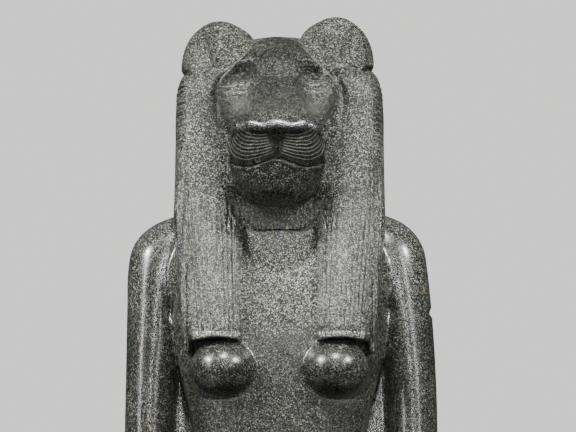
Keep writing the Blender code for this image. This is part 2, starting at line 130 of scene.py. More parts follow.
FOREARM = (
    (-2.95, 0.97, 0.16, 6.32, 6.62, 2.2),
    (-2.75, 0.99, 0.25, 6.2, 6.75, 2.3),
    (-2.2, 1.13, 0.28, 6.0, 6.85, 2.3),
    (-1.2, 1.45, 0.34, 5.8, 7.02, 2.4),
    (-0.3, 1.71, 0.37, 5.7, 7.16, 2.4),
    (0.3, 1.78, 0.36, 5.7, 7.18, 2.4),
    (0.52, 1.79, 0.28, 5.9, 7.05, 2.2),
    (0.62, 1.79, 0.12, 6.2, 6.8, 2.0),
)
THIGH = (
    (-4.42, 0.62, 0.12, 5.68, 5.98, 2.0),
    (-4.34, 0.62, 0.36, 5.45, 6.18, 2.3),
    (-4.05, 0.62, 0.52, 5.1, 6.32, 2.5),
    (-3.0, 0.68, 0.64, 4.92, 6.36, 2.6),
    (-1.5, 0.84, 0.86, 4.85, 6.4, 2.7),
    (0.0, 0.95, 1.0, 4.85, 6.46, 2.7),
    (0.6, 0.9, 0.9, 4.9, 6.3, 2.5),
    (0.85, 0.8, 0.5, 5.2, 6.0, 2.2),
)
SHIN = (
    (0.62, 0.5, 0.38, -4.02, -2.95, 2.5),
    (1.5, 0.5, 0.4, -4.04, -2.9, 2.5),
    (3.2, 0.53, 0.45, -4.14, -2.85, 2.4),
    (4.6, 0.57, 0.47, -4.24, -2.85, 2.4),
    (5.4, 0.6, 0.47, -4.36, -2.9, 2.4),
    (5.9, 0.61, 0.42, -4.38, -3.1, 2.3),
    (6.2, 0.62, 0.2, -4.15, -3.4, 2.0),
)
SKIRT_BETWEEN_LEGS = (
    (0.62, 0, 0.48, -3.92, -2.95, 4.0),
    (3.2, 0, 0.5, -4.03, -2.95, 4.0),
    (5.0, 0, 0.55, -4.17, -2.95, 3.6),
    (5.8, 0, 0.55, -4.24, -2.95, 3.0),
    (6.1, 0, 0.5, -4.1, -3.0, 2.5),
)
SKIRT_ON_LAP = (
    (-4.18, 0, 0.5, 5.0, 6.02, 3.0),
    (-3.0, 0, 0.6, 4.9, 6.14, 3.0),
    (0.0, 0, 0.8, 4.9, 6.3, 3.0),
)
FOOT = (
    (-5.36, 0.48, 0.22, -0.2, 0.14, 2.8),
    (-5.26, 0.48, 0.34, -0.25, 0.25, 3.0),
    (-5.0, 0.48, 0.35, -0.3, 0.36, 2.9),
    (-4.6, 0.48, 0.33, -0.35, 0.52, 2.7),
    (-4.1, 0.48, 0.3, -0.4, 0.82, 2.6),
    (-3.7, 0.48, 0.29, -0.4, 1.0, 2.5),
    (-3.1, 0.48, 0.29, -0.4, 1.0, 2.5),
    (-2.8, 0.48, 0.26, -0.4, 0.8, 2.4),
)
WIG = (
    (11.95, 0, 1.46, -0.98, 0.98, 3.2),
    (12.2, 0, 1.49, -1.08, 1.02, 3.3),
    (12.7, 0, 1.49, -1.12, WIG_BACK, 3.3),
    (13.2, 0, 1.485, -1.12, WIG_BACK, 3.2),
    (13.6, 0, 1.485, -1.1, 1.0, 3.1),
    (13.9, 0, 1.46, -1.09, 0.94, 3.0),
    (14.12, 0, 1.405, -1.06, 0.84, 2.9),
    (14.26, 0, 1.3, -1.0, 0.75, 2.7),
    (14.42, 0, 1.06, -0.93, 0.62, 2.5),
    (14.56, 0, 0.78, -0.84, 0.44, 2.4),
    (14.66, 0, 0.42, -0.66, 0.22, 2.2),
)
EAR = (
    (13.95, 0.92, 0.36, -1.02, -0.1, 2.4),
    (14.05, 0.87, 0.48, -1.07, -0.05, 2.5),
    (14.16, 0.84, 0.545, -1.06, 0.0, 2.6),
    (14.3, 0.83, 0.555, -0.99, 0.0, 2.6),
    (14.45, 0.83, 0.535, -0.89, 0.0, 2.5),
    (14.6, 0.83, 0.485, -0.8, -0.02, 2.4),
    (14.7, 0.825, 0.435, -0.74, -0.05, 2.3),
    (14.8, 0.835, 0.335, -0.67, -0.1, 2.2),
    (14.87, 0.85, 0.225, -0.6, -0.16, 2.1),
    (14.915, 0.85, 0.125, -0.52, -0.24, 2.0),
    (14.93, 0.85, 0.04, -0.44, -0.32, 2.0),
)
WIG_TAIL = (
    (10.9, 0, 0.95, 0.3, 0.98, 3.5),
    (11.5, 0, 1.05, 0.2, 1.02, 3.2),
    (12.3, 0, 1.35, 0.0, 1.02, 2.8),
)
LAPPET = (
    (10.34, 0.857, 0.355, -1.2, -0.5, 2.6),
    (10.9, 0.885, 0.385, -1.21, -0.4, 2.5),
    (11.5, 0.92, 0.42, -1.21, -0.2, 2.5),
    (12.1, 0.955, 0.47, -1.21, 0.0, 2.6),
    (12.6, 0.98, 0.47, -1.22, 0.0, 2.8),
    (13.1, 1.02, 0.43, -1.23, 0.0, 3.0),
    (13.5, 1.07, 0.375, -1.21, 0.0, 2.9),
    (13.85, 1.11, 0.33, -1.18, 0.0, 2.8),
    (14.02, 1.07, 0.32, -1.11, 0.0, 2.7),
    (14.14, 1.02, 0.3, -1.0, 0.0, 2.6),
    (14.28, 0.94, 0.24, -0.8, 0.0, 2.4),
)
SIDE_LOCKS = (
    (10.2, 1.275, 0.045, -0.98, -0.3, 3.0),
    (10.6, 1.29, 0.07, -1.03, -0.3, 3.0),
    (11.4, 1.32, 0.1, -1.05, -0.3, 3.0),
    (12.2, 1.34, 0.13, -1.08, -0.3, 3.0),
    (12.6, 1.3, 0.12, -1.06, -0.3, 3.0),
)
RUFF = (
    (11.86, 0, 0.5, -1.12, 0.0, 2.6),
    (12.05, 0, 0.74, -1.2, 0.0, 2.7),
    (12.3, 0, 0.95, -1.26, 0.0, 3.0),
    (12.8, 0, 1.08, -1.29, 0.0, 3.4),
    (13.3, 0, 1.12, -1.28, 0.0, 3.4),
    (13.62, 0, 1.1, -1.26, 0.0, 3.4),
    (13.88, 0, 1.0, -1.2, 0.0, 3.4),
)
THROAT = (
    (11.1, 0, 0.46, -0.9, 0.0, 2.4),
    (11.5, 0, 0.6, -1.0, 0.0, 2.5),
    (11.9, 0, 0.7, -1.04, 0.0, 2.6),
)

# The face, cut across at each height. Each row: z, y of the middle line, then x and y of the edge of the
# nose bridge or lip, of the valley beside it, and of the ridge round the mask.
FACE = (
    (12.155, -1.42, 0.06, -1.409, 0.094, -1.39, 0.12, -1.34),
    (12.165, -1.58, 0.13, -1.559, 0.203, -1.52, 0.26, -1.42),
    (12.195, -1.72, 0.18, -1.688, 0.281, -1.63, 0.36, -1.48),
    (12.26, -1.85, 0.228, -1.808, 0.355, -1.734, 0.455, -1.54),
    (12.35, -1.94, 0.265, -1.894, 0.413, -1.813, 0.53, -1.6),
    (12.47, -2.0, 0.295, -1.956, 0.46, -1.877, 0.59, -1.67),
    (12.59, -2.03, 0.312, -1.994, 0.488, -1.929, 0.625, -1.76),
    (12.68, -2.05, 0.3, -2.11, 0.52, -2.04, 0.64, -1.88),
    (12.78, -2.12, 0.3, -2.19, 0.53, -2.12, 0.645, -1.94),
    (12.9, -2.16, 0.3, -2.24, 0.53, -2.18, 0.64, -2.01),
    (12.96, -2.18, 0.32, -2.26, 0.52, -2.23, 0.625, -2.07),
    (13.0, -2.21, 0.36, -2.28, 0.51, -2.26, 0.61, -2.13),
    (13.04, -2.3, 0.4, -2.32, 0.52, -2.3, 0.6, -2.2),
    (13.08, -2.355, 0.43, -2.34, 0.53, -2.32, 0.595, -2.25),
    (13.14, -2.355, 0.43, -2.34, 0.54, -2.31, 0.6, -2.25),
    (13.2, -2.325, 0.43, -2.3, 0.54, -2.25, 0.61, -2.2),
    (13.26, -2.27, 0.42, -2.24, 0.54, -2.15, 0.63, -2.11),
    (13.38, -2.1, 0.37, -2.07, 0.55, -1.92, 0.69, -1.92),
    (13.54, -1.87, 0.315, -1.84, 0.55, -1.65, 0.77, -1.66),
    (13.7, -1.66, 0.28, -1.63, 0.54, -1.45, 0.83, -1.44),
    (13.76, -1.58, 0.27, -1.55, 0.53, -1.38, 0.84, -1.37),
    (13.83, -1.52, 0.28, -1.47, 0.52, -1.335, 0.83, -1.31),
    (13.88, -1.48, 0.3, -1.43, 0.52, -1.31, 0.81, -1.285),
    (13.92, -1.415, 0.29, -1.375, 0.52, -1.29, 0.79, -1.27),
    (14.0, -1.395, 0.27, -1.35, 0.51, -1.275, 0.74, -1.24),
    (14.1, -1.385, 0.25, -1.33, 0.47, -1.25, 0.665, -1.2),
    (14.2, -1.355, 0.23, -1.3, 0.42, -1.215, 0.585, -1.15),
    (14.3, -1.285, 0.21, -1.24, 0.37, -1.16, 0.505, -1.085),
    (14.42, -1.165, 0.18, -1.125, 0.31, -1.065, 0.41, -1.01),
    (14.55, -0.985, 0.12, -0.965, 0.21, -0.93, 0.29, -0.89),
    (14.63, -0.8, 0.05, -0.8, 0.1, -0.78, 0.14, -0.75),
)
FACE_RINGS = 200
FACE_SIDE = 0.03  # how much narrower the face is behind its ridge
FACE_BACK = ((1.0, -0.8), (0.7, -0.2))  # behind it, the share of that width and y
NASION = (13.88, 0.08)  # where the forehead starts, and over what height
BRIDGE_FLAT = 0.9  # share of the bridge, and of the forehead, before its edge starts to round over
FOREHEAD_FLAT = 0.5
VALLEY_CURVE = (0.55, 0.8)  # share of the way to the valley, across and in depth
RIDGE_ROUND = ((-0.06, -0.01), (-0.02, 0.02), (0.0, 0.09))

# Rounded masses. Each row: middle in x, y, z, then half sizes in x, y, z.
BREAST = (0.77, -0.78, 9.99, 0.46, 0.46, 0.41)
BREAST_ROOT = (0.76, -0.55, 10.0, 0.52, 0.44, 0.5)
KNEE = (0.62, -4.1, 5.84, 0.42, 0.29, 0.5)
NICK = (2.17, -0.1, 10.8, 0.12, 0.3, 0.075)
NICK_DEPTH = 0.06
NICK_STEEPNESS = 1.3

# Hollows. Each row: middle in x and z, reach in x and z, tilt, depth, and the y behind which nothing moves.
BROW_HOLLOW = (0.52, 14.02, 0.29, 0.23, 0.3, 0.2, -0.9)
FLANK_OF_NOSE = (0.55, 13.52, 0.22, 0.32, -0.3, 0.06, -1.2)
ARMPIT = (1.49, 10.87, 0.17, 0.28, 0.8, 0.13, -0.2)

# Ellipsoids that bulge or are scooped out: middle, half sizes, and the y behind which nothing moves.
EYEBALL = (0.5, -1.12, 13.82, 0.2, 0.255, 0.115, -1.0)
NOSTRIL = (0.15, -2.52, 13.02, 0.09, 0.27, 0.055, -2.0)

# The ledge over the nose, which waves up and down: how far from the middle, and how much higher.
NOSE_LEDGE = ((0.0, 0.01), (0.11, -0.005), (0.21, -0.03), (0.34, 0.005), (0.5, -0.02), (0.62, -0.045))
NOSE_LEDGE_BAND = (13.06, 13.22, 0.08)
NOSE_FRONT = -1.9

# The left side differs: its ear and shoulder stand higher, and its arm leans out, by so much at each height.
EAR_RISE = 0.06
EAR_INWARD = 0.055
SHOULDER_RISE = 0.02
ARM_LEAN = ((7.0, 0.0), (9.2, 0.045), (10.4, 0.03), (11.5, -0.06), (11.9, -0.05), (12.2, 0.0))

PALM = (
    (-3.45, 0.8, 0.33, 6.2, 6.54, 2.8),
    (-3.2, 0.84, 0.34, 6.2, 6.6, 2.8),
    (-2.8, 0.95, 0.28, 6.2, 6.68, 2.6),
    (-2.6, 1.0, 0.2, 6.25, 6.65, 2.2),
)
FIST = (
    (-3.42, 0.8, 0.22, 6.28, 6.62, 2.6),
    (-3.32, 0.81, 0.33, 6.2, 6.76, 3.0),
    (-2.95, 0.86, 0.35, 6.2, 6.82, 3.0),
    (-2.7, 0.95, 0.28, 6.2, 6.78, 2.6),
    (-2.6, 0.98, 0.16, 6.3, 6.68, 2.2),
)
HAND_MIDDLE = 0.8
FINGER_ROOT = -3.1
FINGER_TOP = 6.54
FINGER_HALF_WIDTH = 0.098
FINGER_LENGTHS = (0.82, 0.94, 0.9, 0.74)
THUMB = (0.36, -3.46, -2.8, 0.09)
ANKH_STEM_END = -4.16
ANKH_CROSSING = -3.55
ANKH_ARM = 0.34
ANKH_BAR = 0.075
ANKH_TOP = 6.44
ANKH_FOOT = 6.0
ANKH_SQUARENESS = 12.0
DIGIT = (
    (0.0, 0.3, -2.2, -1.3, 2.2),
    (0.5, 0.8, -3.0, -0.5, 2.4),
    (2.5, 1.0, -3.0, 0.0, 2.4),
)
THUMB_ON_FIST = (1.5, 1.0)
TOES = ((0.115, 0.0), (0.082, 0.02), (0.078, 0.07), (0.074, 0.13), (0.07, 0.2))
TOE_ROOT = -5.15
TOE_HEIGHT = 2.4
TOE_SPACING = 1.9
FOOT_INNER_EDGE = 0.14

# Lines of the face, seen from the front as x and z. The face's own middle is a little to the figure's right.
FACE_MIDDLE = -0.03
EYES = ((-1, 0.53, 13.835), (1, 0.47, 13.85))
UPPER_LID = (
    (-0.185, -0.062),
    (-0.125, 0.008),
    (-0.045, 0.046),
    (0.05, 0.044),
    (0.12, 0.0),
    (0.168, -0.066),
)
LOWER_LID = ((-0.185, -0.062), (-0.1, -0.094), (0.0, -0.106), (0.09, -0.098), (0.168, -0.066))
LIDS = ((UPPER_LID, 1, 0.45), (LOWER_LID, -1, 1.0))  # line, side of its crease, and strength
MASK_EDGE = ((0.3, 14.52), (0.51, 14.25), (0.66, 14.08), (0.765, 13.95), (0.805, 13.82))
CHEEK_RIDGE = ((0.835, 13.8), (0.815, 13.66), (0.745, 13.5), (0.665, 13.34), (0.59, 13.19))
MOUTH = (
    (0.0, 12.702),
    (0.06, 12.69),
    (0.13, 12.662),
    (0.22, 12.628),
    (0.33, 12.602),
    (0.43, 12.597),
    (0.53, 12.617),
    (0.64, 12.68),
)
LIP = tuple((x, z - 0.032) for x, z in MOUTH)
WHISKER_LOWEST = (
    (0.02, 12.785),
    (0.17, 12.735),
    (0.31, 12.695),
    (0.44, 12.69),
    (0.55, 12.735),
    (0.61, 12.815),
    (0.64, 12.95),
)
WHISKER_HIGHEST = (
    (0.1, 13.0),
    (0.2, 12.99),
    (0.3, 12.995),
    (0.38, 13.01),
    (0.44, 13.035),
    (0.48, 13.065),
    (0.515, 13.1),
)
WHISKERS = 8
PHILTRUM = ((0.0, 12.94), (0.0, 12.71))

# How lines are cut: half width, depth, share of the length over which each end thins out, and how far a point
# has to face the front. A line with a depth under nothing is raised.
FACING = 0.25
ENDS = 0.12
BLUNT = 1e-6
LID = (0.02, -0.008, ENDS, FACING)
LID_CREASE = (0.02, 0.014, 0.3, FACING)
LID_CREASE_GAP = 0.03
WHISKER = (0.014, 0.007, ENDS, FACING)
GROOVE_OVER_MOUTH = (0.02, 0.014, 0.2, FACING)
FACE_LINES = (
    (MASK_EDGE, (0.028, -0.018, ENDS, 0.0)),
    (CHEEK_RIDGE, (0.034, -0.02, ENDS, -0.2)),
    (MOUTH, (0.022, 0.026, BLUNT, FACING)),
    (LIP, (0.022, -0.01, BLUNT, FACING)),
)
DRESS_LINE = (0.022, 0.006, 0.2, FACING)
LINE_STEPS = 40

# The hair. Strands run down the wig and the lappets, and locks cross the outer edge beside the face. A row of
# grooves is given by the way from one to the next, half the width of one, and its depth.
STRANDS = (0.062, 0.024, 0.014)
SIDE_STRANDS = (0.055, 0.02, 0.014)
SIDE_STRANDS_START = 1.288
LOCKS = (0.078, 0.03, 0.024)
LOCKS_SLANT = 0.15
LOCKS_MIDDLE = 1.4
CHIN_STRANDS = (0.062, 0.022, 0.01)
CHIN_STRANDS_SPREAD = 0.25
CHIN_STRANDS_TOP = 12.3
EAR_RAYS = (0.12, 0.045, 0.008)
LAPPET_HEM = (0.857, 0.36, 0.05)  # middle and half width of the lower edge, and how far it arches
HEM_LINE = (10.47, 0.018, 0.0084)  # height, half width and depth
LAPPET_ACROSS = 0.4
LAPPET_TURN = 1.12  # how far in front it turns on to its sides
WIG_RING = (1.49, 1.08, -0.04, 3.2)  # half width, half depth, middle in y, squareness
WIG_RING_STEPS = 200
EAR_MIDDLE = ((0.8, 14.48),)
EAR_RIDGE = ((1.09, 14.8), (1.045, 14.66), (1.02, 14.5), (1.005, 14.36), (0.965, 14.22))
EAR_LOBE = ((0.965, 14.22), (1.02, 14.13), (1.13, 14.06), (1.24, 14.055))
EAR_NOTCH = ((1.2, 14.05), (1.32, 14.1), (1.45, 14.18))
EAR_LINES = (
    (EAR_RIDGE, (0.028, -0.02, ENDS, 0.1)),
    (EAR_LOBE, (0.03, 0.022, ENDS, 0.1)),
    (EAR_NOTCH, (0.045, 0.07, 0.2, -0.6)),
)
EAR_SCOOP = 0.13  # depth beside the ridge
EAR_SCOOP_STEEP = 0.07  # from the ridge inwards, where it is at its deepest
EAR_SCOOP_REACH = (0.5, 0.4)  # from the ridge inwards, where it has run out, and over what way
EAR_SCOOP_BAND = (14.3, 14.64, 0.2)
EAR_SCOOP_FRONT = -0.45
DRESS_LINES = (
    ((-0.21, 10.812), (0.0, 10.8), (0.21, 10.812)),
    ((-0.52, 10.64), (-0.3, 10.59), (0.0, 10.566), (0.28, 10.588), (0.5, 10.66)),
)

# Zones. Each band: from, to, and the edge over which it fades outside. "out" is the distance from the middle
# of the statue, "middle" from that of the face, "ridge" and "past" outwards from the ridge of the mask and of
# the ear; "tilt" is how far a point faces up or down, and "facing" how far it faces backwards.
FAR = math.inf
SHARP = 1e-6
UPRIGHT = (-FAR, 0.35, 0.3)
HEM = {"z": (-FAR, 10.4, 0.35), "y": (-FAR, -0.4, SHARP), "out": (-FAR, 1.3, SHARP)}
HAIR_ZONES = {
    "lappets": {"z": (10.5, 12.0, 0.35), "out": (0.3, 1.23, 0.02), "y": (-FAR, -0.3, SHARP), "tilt": UPRIGHT},
    "above_hem": {"z": (10.42, FAR, 0.02)},
    "hem_line": {"out": (-FAR, 1.22, SHARP), "y": (-FAR, -0.5, SHARP), "tilt": UPRIGHT},
    "sides": {"z": (10.2, 12.6, 0.3), "out": (1.235, FAR, 0.01), "y": (-FAR, -0.3, SHARP), "tilt": UPRIGHT},
    "behind": {"z": (-FAR, 13.75, 0.5), "out": (0.3, FAR, 0.1), "y": (-0.15, FAR, 0.3), "tilt": UPRIGHT},
    "locks": {"z": (13.05, 13.95, 0.1), "out": (1.35, FAR, 0.06), "y": (-FAR, -0.65, 0.2)},
    "chin": {"z": (11.8, 12.3, 0.1), "out": (-FAR, 0.76, 0.1), "facing": (-FAR, -0.2, SHARP)},
}
EAR_FLANGE = {"past": (0.05, FAR, 0.05), "facing": (-FAR, -0.2, 0.3), "z": (14.17, FAR, 0.05)}
FINISH_AND_SHADE_ZONES = {
    "chest": {"z": (10.75, 12.2, 0.6), "out": (-FAR, 1.25, 0.1)},
    "shoulders": {"z": (11.1, 12.4, 0.5), "out": (1.3, FAR, 0.1)},
    "wig": {"z": (12.2, FAR, 0.2)},
    "lappets": {"z": (10.34, 12.2, 0.02), "out": (-FAR, 1.5, SHARP), "y": (-FAR, -1.1, 0.1)},
    "shaded_wig_top": {"z": (13.55, 14.1, 0.35), "out": (0.9, FAR, 0.3)},
    "ears": {"z": (14.4, FAR, 0.3)},
    "shade_and_dull_beside_face": {"z": (12.3, 13.7, 0.2), "out": (-FAR, 0.77, 0.25)},
    "shade_under_chin": {"z": (11.86, 12.45, 0.03), "out": (-FAR, 0.68, 0.12), "y": (-FAR, -1.07, 0.05)},
    "shadow": {"y": (-FAR, -0.85, 0.05), "z": (-FAR, 11.87, SHARP)},
    "low_lappets": {"z": (10.34, 12.0, 0.5)},
    "mane": {"z": (12.8, FAR, 0.5)},
    "arms": {"z": (-FAR, 12.2, 0.1), "out": (1.4, FAR, 0.1)},
    "mask": {"z": (12.08, FAR, SHARP), "y": (-FAR, -1.32, 0.05), "ridge": (-FAR, 0.02, 0.02)},
    "forehead": {"z": (13.8, FAR, SHARP), "y": (-FAR, -0.8, 0.05), "ridge": (-FAR, -0.02, 0.03)},
    "chin": {"z": (-FAR, 12.61, 0.05)},
    "muzzle": {"z": (12.68, 13.02, 0.05)},
    "over_muzzle": {"z": (13.1, FAR, 0.06)},
    "over_nose": {"z": (13.33, FAR, 0.05)},
    "bridge": {"z": (13.32, FAR, 0.08)},
    "over_bridge": {"z": (13.94, FAR, 0.04)},
    "flank": {"z": (13.3, 13.95, 0.06), "middle": (0.38, FAR, 0.06), "ridge": (-FAR, -0.13, 0.06)},
    "breasts": {"z": (9.45, 9.98, 0.12), "out": (0.35, 1.2, 0.1), "y": (-FAR, -0.95, 0.1)},
    "shaded_breast_bottoms": {"z": (-FAR, 9.7, 0.25)},
    "marked": {"y": (-FAR, -1.0, SHARP)},
}
BLOCK_ZONES = {
    "base": {"z": (-FAR, 0.02, SHARP)},
    "pillar": {"y": (1.0, FAR, SHARP)},
    "throne": {"z": (-FAR, SEAT + 0.02, SHARP), "out": (1.7, FAR, SHARP)},
    "seat": {"z": (-FAR, SEAT + 0.05, SHARP), "y": (-3.25, FAR, SHARP), "out": (0.6, FAR, SHARP)},
}
SHADOW = (11.87, 0.62, 0.38)  # under the chin: its top, and its reach across and down

# How much paler and more matt the zones are, on a scale up to 1. Under the chin, the darkening and the chin's
# shadow on the chest are painted shade.
PALE = {"body": 0.14, "chest": 0.56, "shoulders": 0.26, "shade_under_chin": -0.6, "shadow": -0.25, "block": 0.45}
# On the hair, the darkening beside the face and on the top of the wig is painted shade.
PALE_HAIR = {"mane": 0.66, "shaded_wig_top": -0.26, "ears": -0.22, "shade_and_dull_beside_face": -0.36}
# On the face, the darkening of the muzzle below the nose ledge and of the chin is painted shade.
PALE_FACE = {"chin": -0.12, "muzzle": -0.45, "over_muzzle": 0.12, "over_nose": -0.05, "over_bridge": -0.05}
BREAST_SHADE = (-0.13, -0.35)  # painted shade on the lower half of each breast, and more further down
LEAST_PALE = -0.5
MATT = {"low_lappets": -0.44, "mane": 0.72, "shade_and_dull_beside_face": 0.95, "arms": 0.05, "breasts": -0.1, "block": 0.6}
MATT_FACE = {"bare": 0.04, "bridge": 0.1, "over_bridge": 0.25}
FLANK = (0.34, 0.45)  # how much paler, and more matt
LINE_MARK = (0.009, 0.45, ENDS, 0.0)
EDGE_MARK = (0.022, 0.3, ENDS, 0.0)

# The stone. Crystals are so many to the metre; grain, clouds of tone and pits as well, each with its detail.
CRYSTALS = 700.0
GRAIN = (1000.0, 2.0)
CLOUDS = (16.0, 4.0)
PITS = (500.0, 2.0)
STONE_TONES = (
    (0.3, (0.003, 0.0035, 0.003)),
    (0.46, (0.008, 0.009, 0.0075)),
    (0.58, (0.024, 0.026, 0.021)),
    (0.68, (0.07, 0.072, 0.06)),
    (0.78, (0.19, 0.19, 0.163)),
    (0.94, (0.4, 0.395, 0.345)),
)
TAN = (0.21, 0.15, 0.075, 1.0)
CUT_STONE = (0.17, 0.165, 0.14, 1.0)  # where a tool line is cut through the polish
CUT_BROKEN = 0.5  # share of such a line that the crystals break up
TONE = {"floor": -0.195, "crystals": 0.64, "grain": 0.3, "clouds": 0.2, "pale": 0.19}
# Tan inclusions: how far they are drawn out upwards, how many to the metre, size, share kept and strength.
INCLUSIONS = (
    (0.3, 24.0, 0.045, 0.65, 0.6),
    (0.36, 52.0, 0.085, 0.55, 0.6),
)
INCLUSION_LEAN = -0.25
INCLUSION_RAGGED = (0.22, 0.11)
ROUGHNESS = {"polished": 0.17, "matt": 0.36, "crystals": 0.14}
SHEEN = {"bare": 0.12, "pale": 2.8, "least": 0.08, "most": 0.5, "matt": -1.0, "whole": 1.1}
BUMP = {"polished": 0.1, "matt": 0.4, "depth": 0.0008}

# The studio. Each light: name, place, what it points at, size and watts.
LIGHTS = (
    ("key", (0.1, -2.4, 4.2), (0, 0.1, 1.6), (0.5, 0.35), 70),
    ("key_left", (-2.9, -1.7, 3.3), (0, 0.1, 1.5), (0.25, 0.25), 95),
    ("key_right", (2.6, -2.2, 3.3), (0, 0.1, 1.5), (0.25, 0.25), 80),
    ("front", (0.05, -3.9, 2.15), (0, 0.2, 1.6), (0.05, 1.6), 22),
    ("left", (-2.9, -2.2, 2.2), (0, 0.2, 1.5), (0.08, 2.2), 30),
    ("right", (1.9, -3.4, 2.2), (0, 0.2, 1.5), (0.08, 2.2), 22),
)
LIGHT_SPREAD = 100  # degrees
BACKDROP = (0.78, 0.78, 0.77, 1)
BACKDROP_STRENGTH = {"seen": 1.4, "level": 0.06, "overhead": 0.55, "power": 2.0}
FLOOR_HALF = 40
FLOOR_TONES = ((0.25, (0.71, 0.7, 0.68)), (0.75, (0.8, 0.79, 0.77)))
FLOOR_PATCHES = (1.5, 6.0)
FLOOR_FIBRES = (160.0, 4.0)
FLOOR_SHARE = 0.5  # of the patches and of the fibres in its tone
FLOOR_ROUGHNESS = (0.2, 0.75)
FLOOR_BUMP = (0.2, 0.001)
LENS = 121.43
SENSOR = 36
CAMERA_PLACE = (0.0149, -3.2, 1.25)
CAMERA_TARGET = (0.0149, 0.2, 1.685)
SHARPEST_SMOOTH = 40  # degrees between faces that are shaded as one


def base_depth():
    """From in front of the toes to behind the throne, whose back is the back of the pillar."""
    return BASE_FRONT_MARGIN + (WIG_BACK - TOE_TIP) * SQUARE + PILLAR_DEPTH + BASE_BACK_MARGIN


def figure_y():
    """World y of the figure's own axis."""
    return -base_depth() / 2 + BASE_FRONT_MARGIN - TOE_TIP * SQUARE


def pillar_back():
    return base_depth() / 2 - BASE_BACK_MARGIN


def throne_back():
    return pillar_back() - PILLAR_RELIEF


def throne_front():
    return figure_y() + THRONE_FRONT * SQUARE


def height(squares):
    """World z of a height given in squares above the soles."""
    return BASE_HEIGHT + squares * SQUARE


def from_squares(points):
    """Points on the grid as points in metres."""
    return np.asarray(points, float) * SQUARE + (0.0, figure_y(), BASE_HEIGHT)


def to_squares(points):
    return (points - (0.0, figure_y(), BASE_HEIGHT)) / SQUARE


def through(stations, places):
    """Values on a smooth curve through the stations, at each place along them."""
    table = np.array(stations, float)
    knots, values = table[:, 0], table[:, 1:]
    slopes = np.gradient(values, knots, axis=0)
    after = np.clip(np.searchsorted(knots, places), 1, len(knots) - 1)
    span = (knots[after] - knots[after - 1])[:, None]
    t = (places - knots[after - 1])[:, None] / span
    start = (2 * t**3 - 3 * t**2 + 1) * values[after - 1]
    leave = (t**3 - 2 * t**2 + t) * span * slopes[after - 1]
    end = (3 * t**2 - 2 * t**3) * values[after]
    arrive = (t**3 - t**2) * span * slopes[after]
    return start + leave + end + arrive


def outline(half_a, half_b, squareness):
    """A closed outline between an ellipse, at squareness 2, and a box with round corners."""
    turn = np.linspace(0, 2 * math.pi, RING_POINTS, endpoint=False)
    power = 2 / squareness
    a = half_a * np.sign(np.cos(turn)) * np.abs(np.cos(turn)) ** power
    b = half_b * np.sign(np.sin(turn)) * np.abs(np.sin(turn)) ** power
    return a, b


class Forms:
    """Overlapping closed forms of one surface, in squares."""

    def __init__(self):
        self.points = []
        self.faces = []

    def rings(self, rings, inward):
        """Adds a form skinned over its rings and closed at both ends."""
        first = len(self.points)
        count = len(rings[0])
        for ring in rings:
            self.points.extend(ring)
        faces = [list(range(first, first + count))[::-1]]
        last = first + count * (len(rings) - 1)
        faces.append(list(range(last, last + count)))
        for low in range(first, last, count):
            for i in range(count):
                j = (i + 1) % count
                faces.append([low + i, low + j, low + count + j, low + count + i])
        self.faces.extend(face[::-1] if inward else face for face in faces)

    def loft(self, stations, along, side=1):
        """Adds a form through stations that run up z or along y, mirrored in x where side is -1."""
        places = np.linspace(stations[0][0], stations[-1][0], RINGS)
        rings = []
        for place, (middle, half, low, high, squareness) in zip(places, through(stations, places)):
            a, b = outline(max(half, LEAST_SIZE), max(high - low, LEAST_SIZE) / 2, squareness)
            x, across = side * (middle + a), (low + high) / 2 + b
            level = np.full_like(x, place)
            rings.append(np.stack([x, across, level] if along == "z" else [x, level, across], axis=1))
        self.rings(rings, (side == -1) != (along == "y"))

    def mass(self, mass, side):
        """Adds an ellipsoid."""
        x, y, z, *half = mass
        lift = np.sin(np.linspace(-math.pi / 2, math.pi / 2, MASS_RINGS + 2)[1:-1])
        turn = np.linspace(0, 2 * math.pi, RING_POINTS, endpoint=False)
        rings = []
        for up in lift:
            across = math.sqrt(1 - up * up)
            ring = [np.cos(turn) * across, np.sin(turn) * across, np.full_like(turn, up)]
            rings.append(np.stack(ring, axis=1) * half + (side * x, y, z))
        self.rings(rings, False)

    def item(self, name):
        mesh = bpy.data.meshes.new(name)
        mesh.from_pydata(from_squares(self.points), [], self.faces)
        return linked(name, mesh)


def linked(name, data):
    """A new object of the scene, made of a mesh, a light or a camera."""
    item = bpy.data.objects.new(name, data)
    bpy.context.scene.collection.objects.link(item)
    return item


def raised(stations, rise):
    """The same stations of an upright stack, set higher."""
    return tuple((row[0] + rise, *row[1:]) for row in stations)


def moved_ear(rows, side):
    """Stations of the ear, or a line on it, as that side's ear has them."""
    if side == -1:
        return rows
    if len(rows[0]) == 2:
        return tuple((x - EAR_INWARD, z + EAR_RISE) for x, z in rows)
    return tuple((z + EAR_RISE, x - EAR_INWARD, *rest) for z, x, *rest in rows)


def box(body, low, high):
    """Adds a box to the body, from its lowest to its highest corner in metres, with worn edges."""
    low, high = Vector(low), Vector(high)
    size = Matrix.Diagonal([*(high - low), 1.0])
    made = bmesh.ops.create_cube(body, size=1.0, matrix=Matrix.Translation((low + high) / 2) @ size)
    wear(body, {edge for vert in made["verts"] for edge in vert.link_edges})


def wear(body, edges):
    bmesh.ops.bevel(
        body, geom=list(edges), offset=EDGE_WEAR, segments=WEAR_SEGMENTS, affect="EDGES", profile=WEAR_PROFILE
    )


def prism(body, profile, low_x, high_x):
    """Adds a side-on profile of y and z, carried across from low_x to high_x, and returns its faces."""
    face = body.faces.new([body.verts.new((low_x, y, z)) for y, z in profile])
    swept = bmesh.ops.extrude_face_region(body, geom=[face])["geom"]
    ends = [item for item in swept if isinstance(item, bmesh.types.BMVert)]
    bmesh.ops.translate(body, verts=ends, vec=(high_x - low_x, 0, 0))
    faces = list({near for vert in (*face.verts, *ends) for near in vert.link_faces})
    bmesh.ops.recalc_face_normals(body, faces=faces)
    return faces


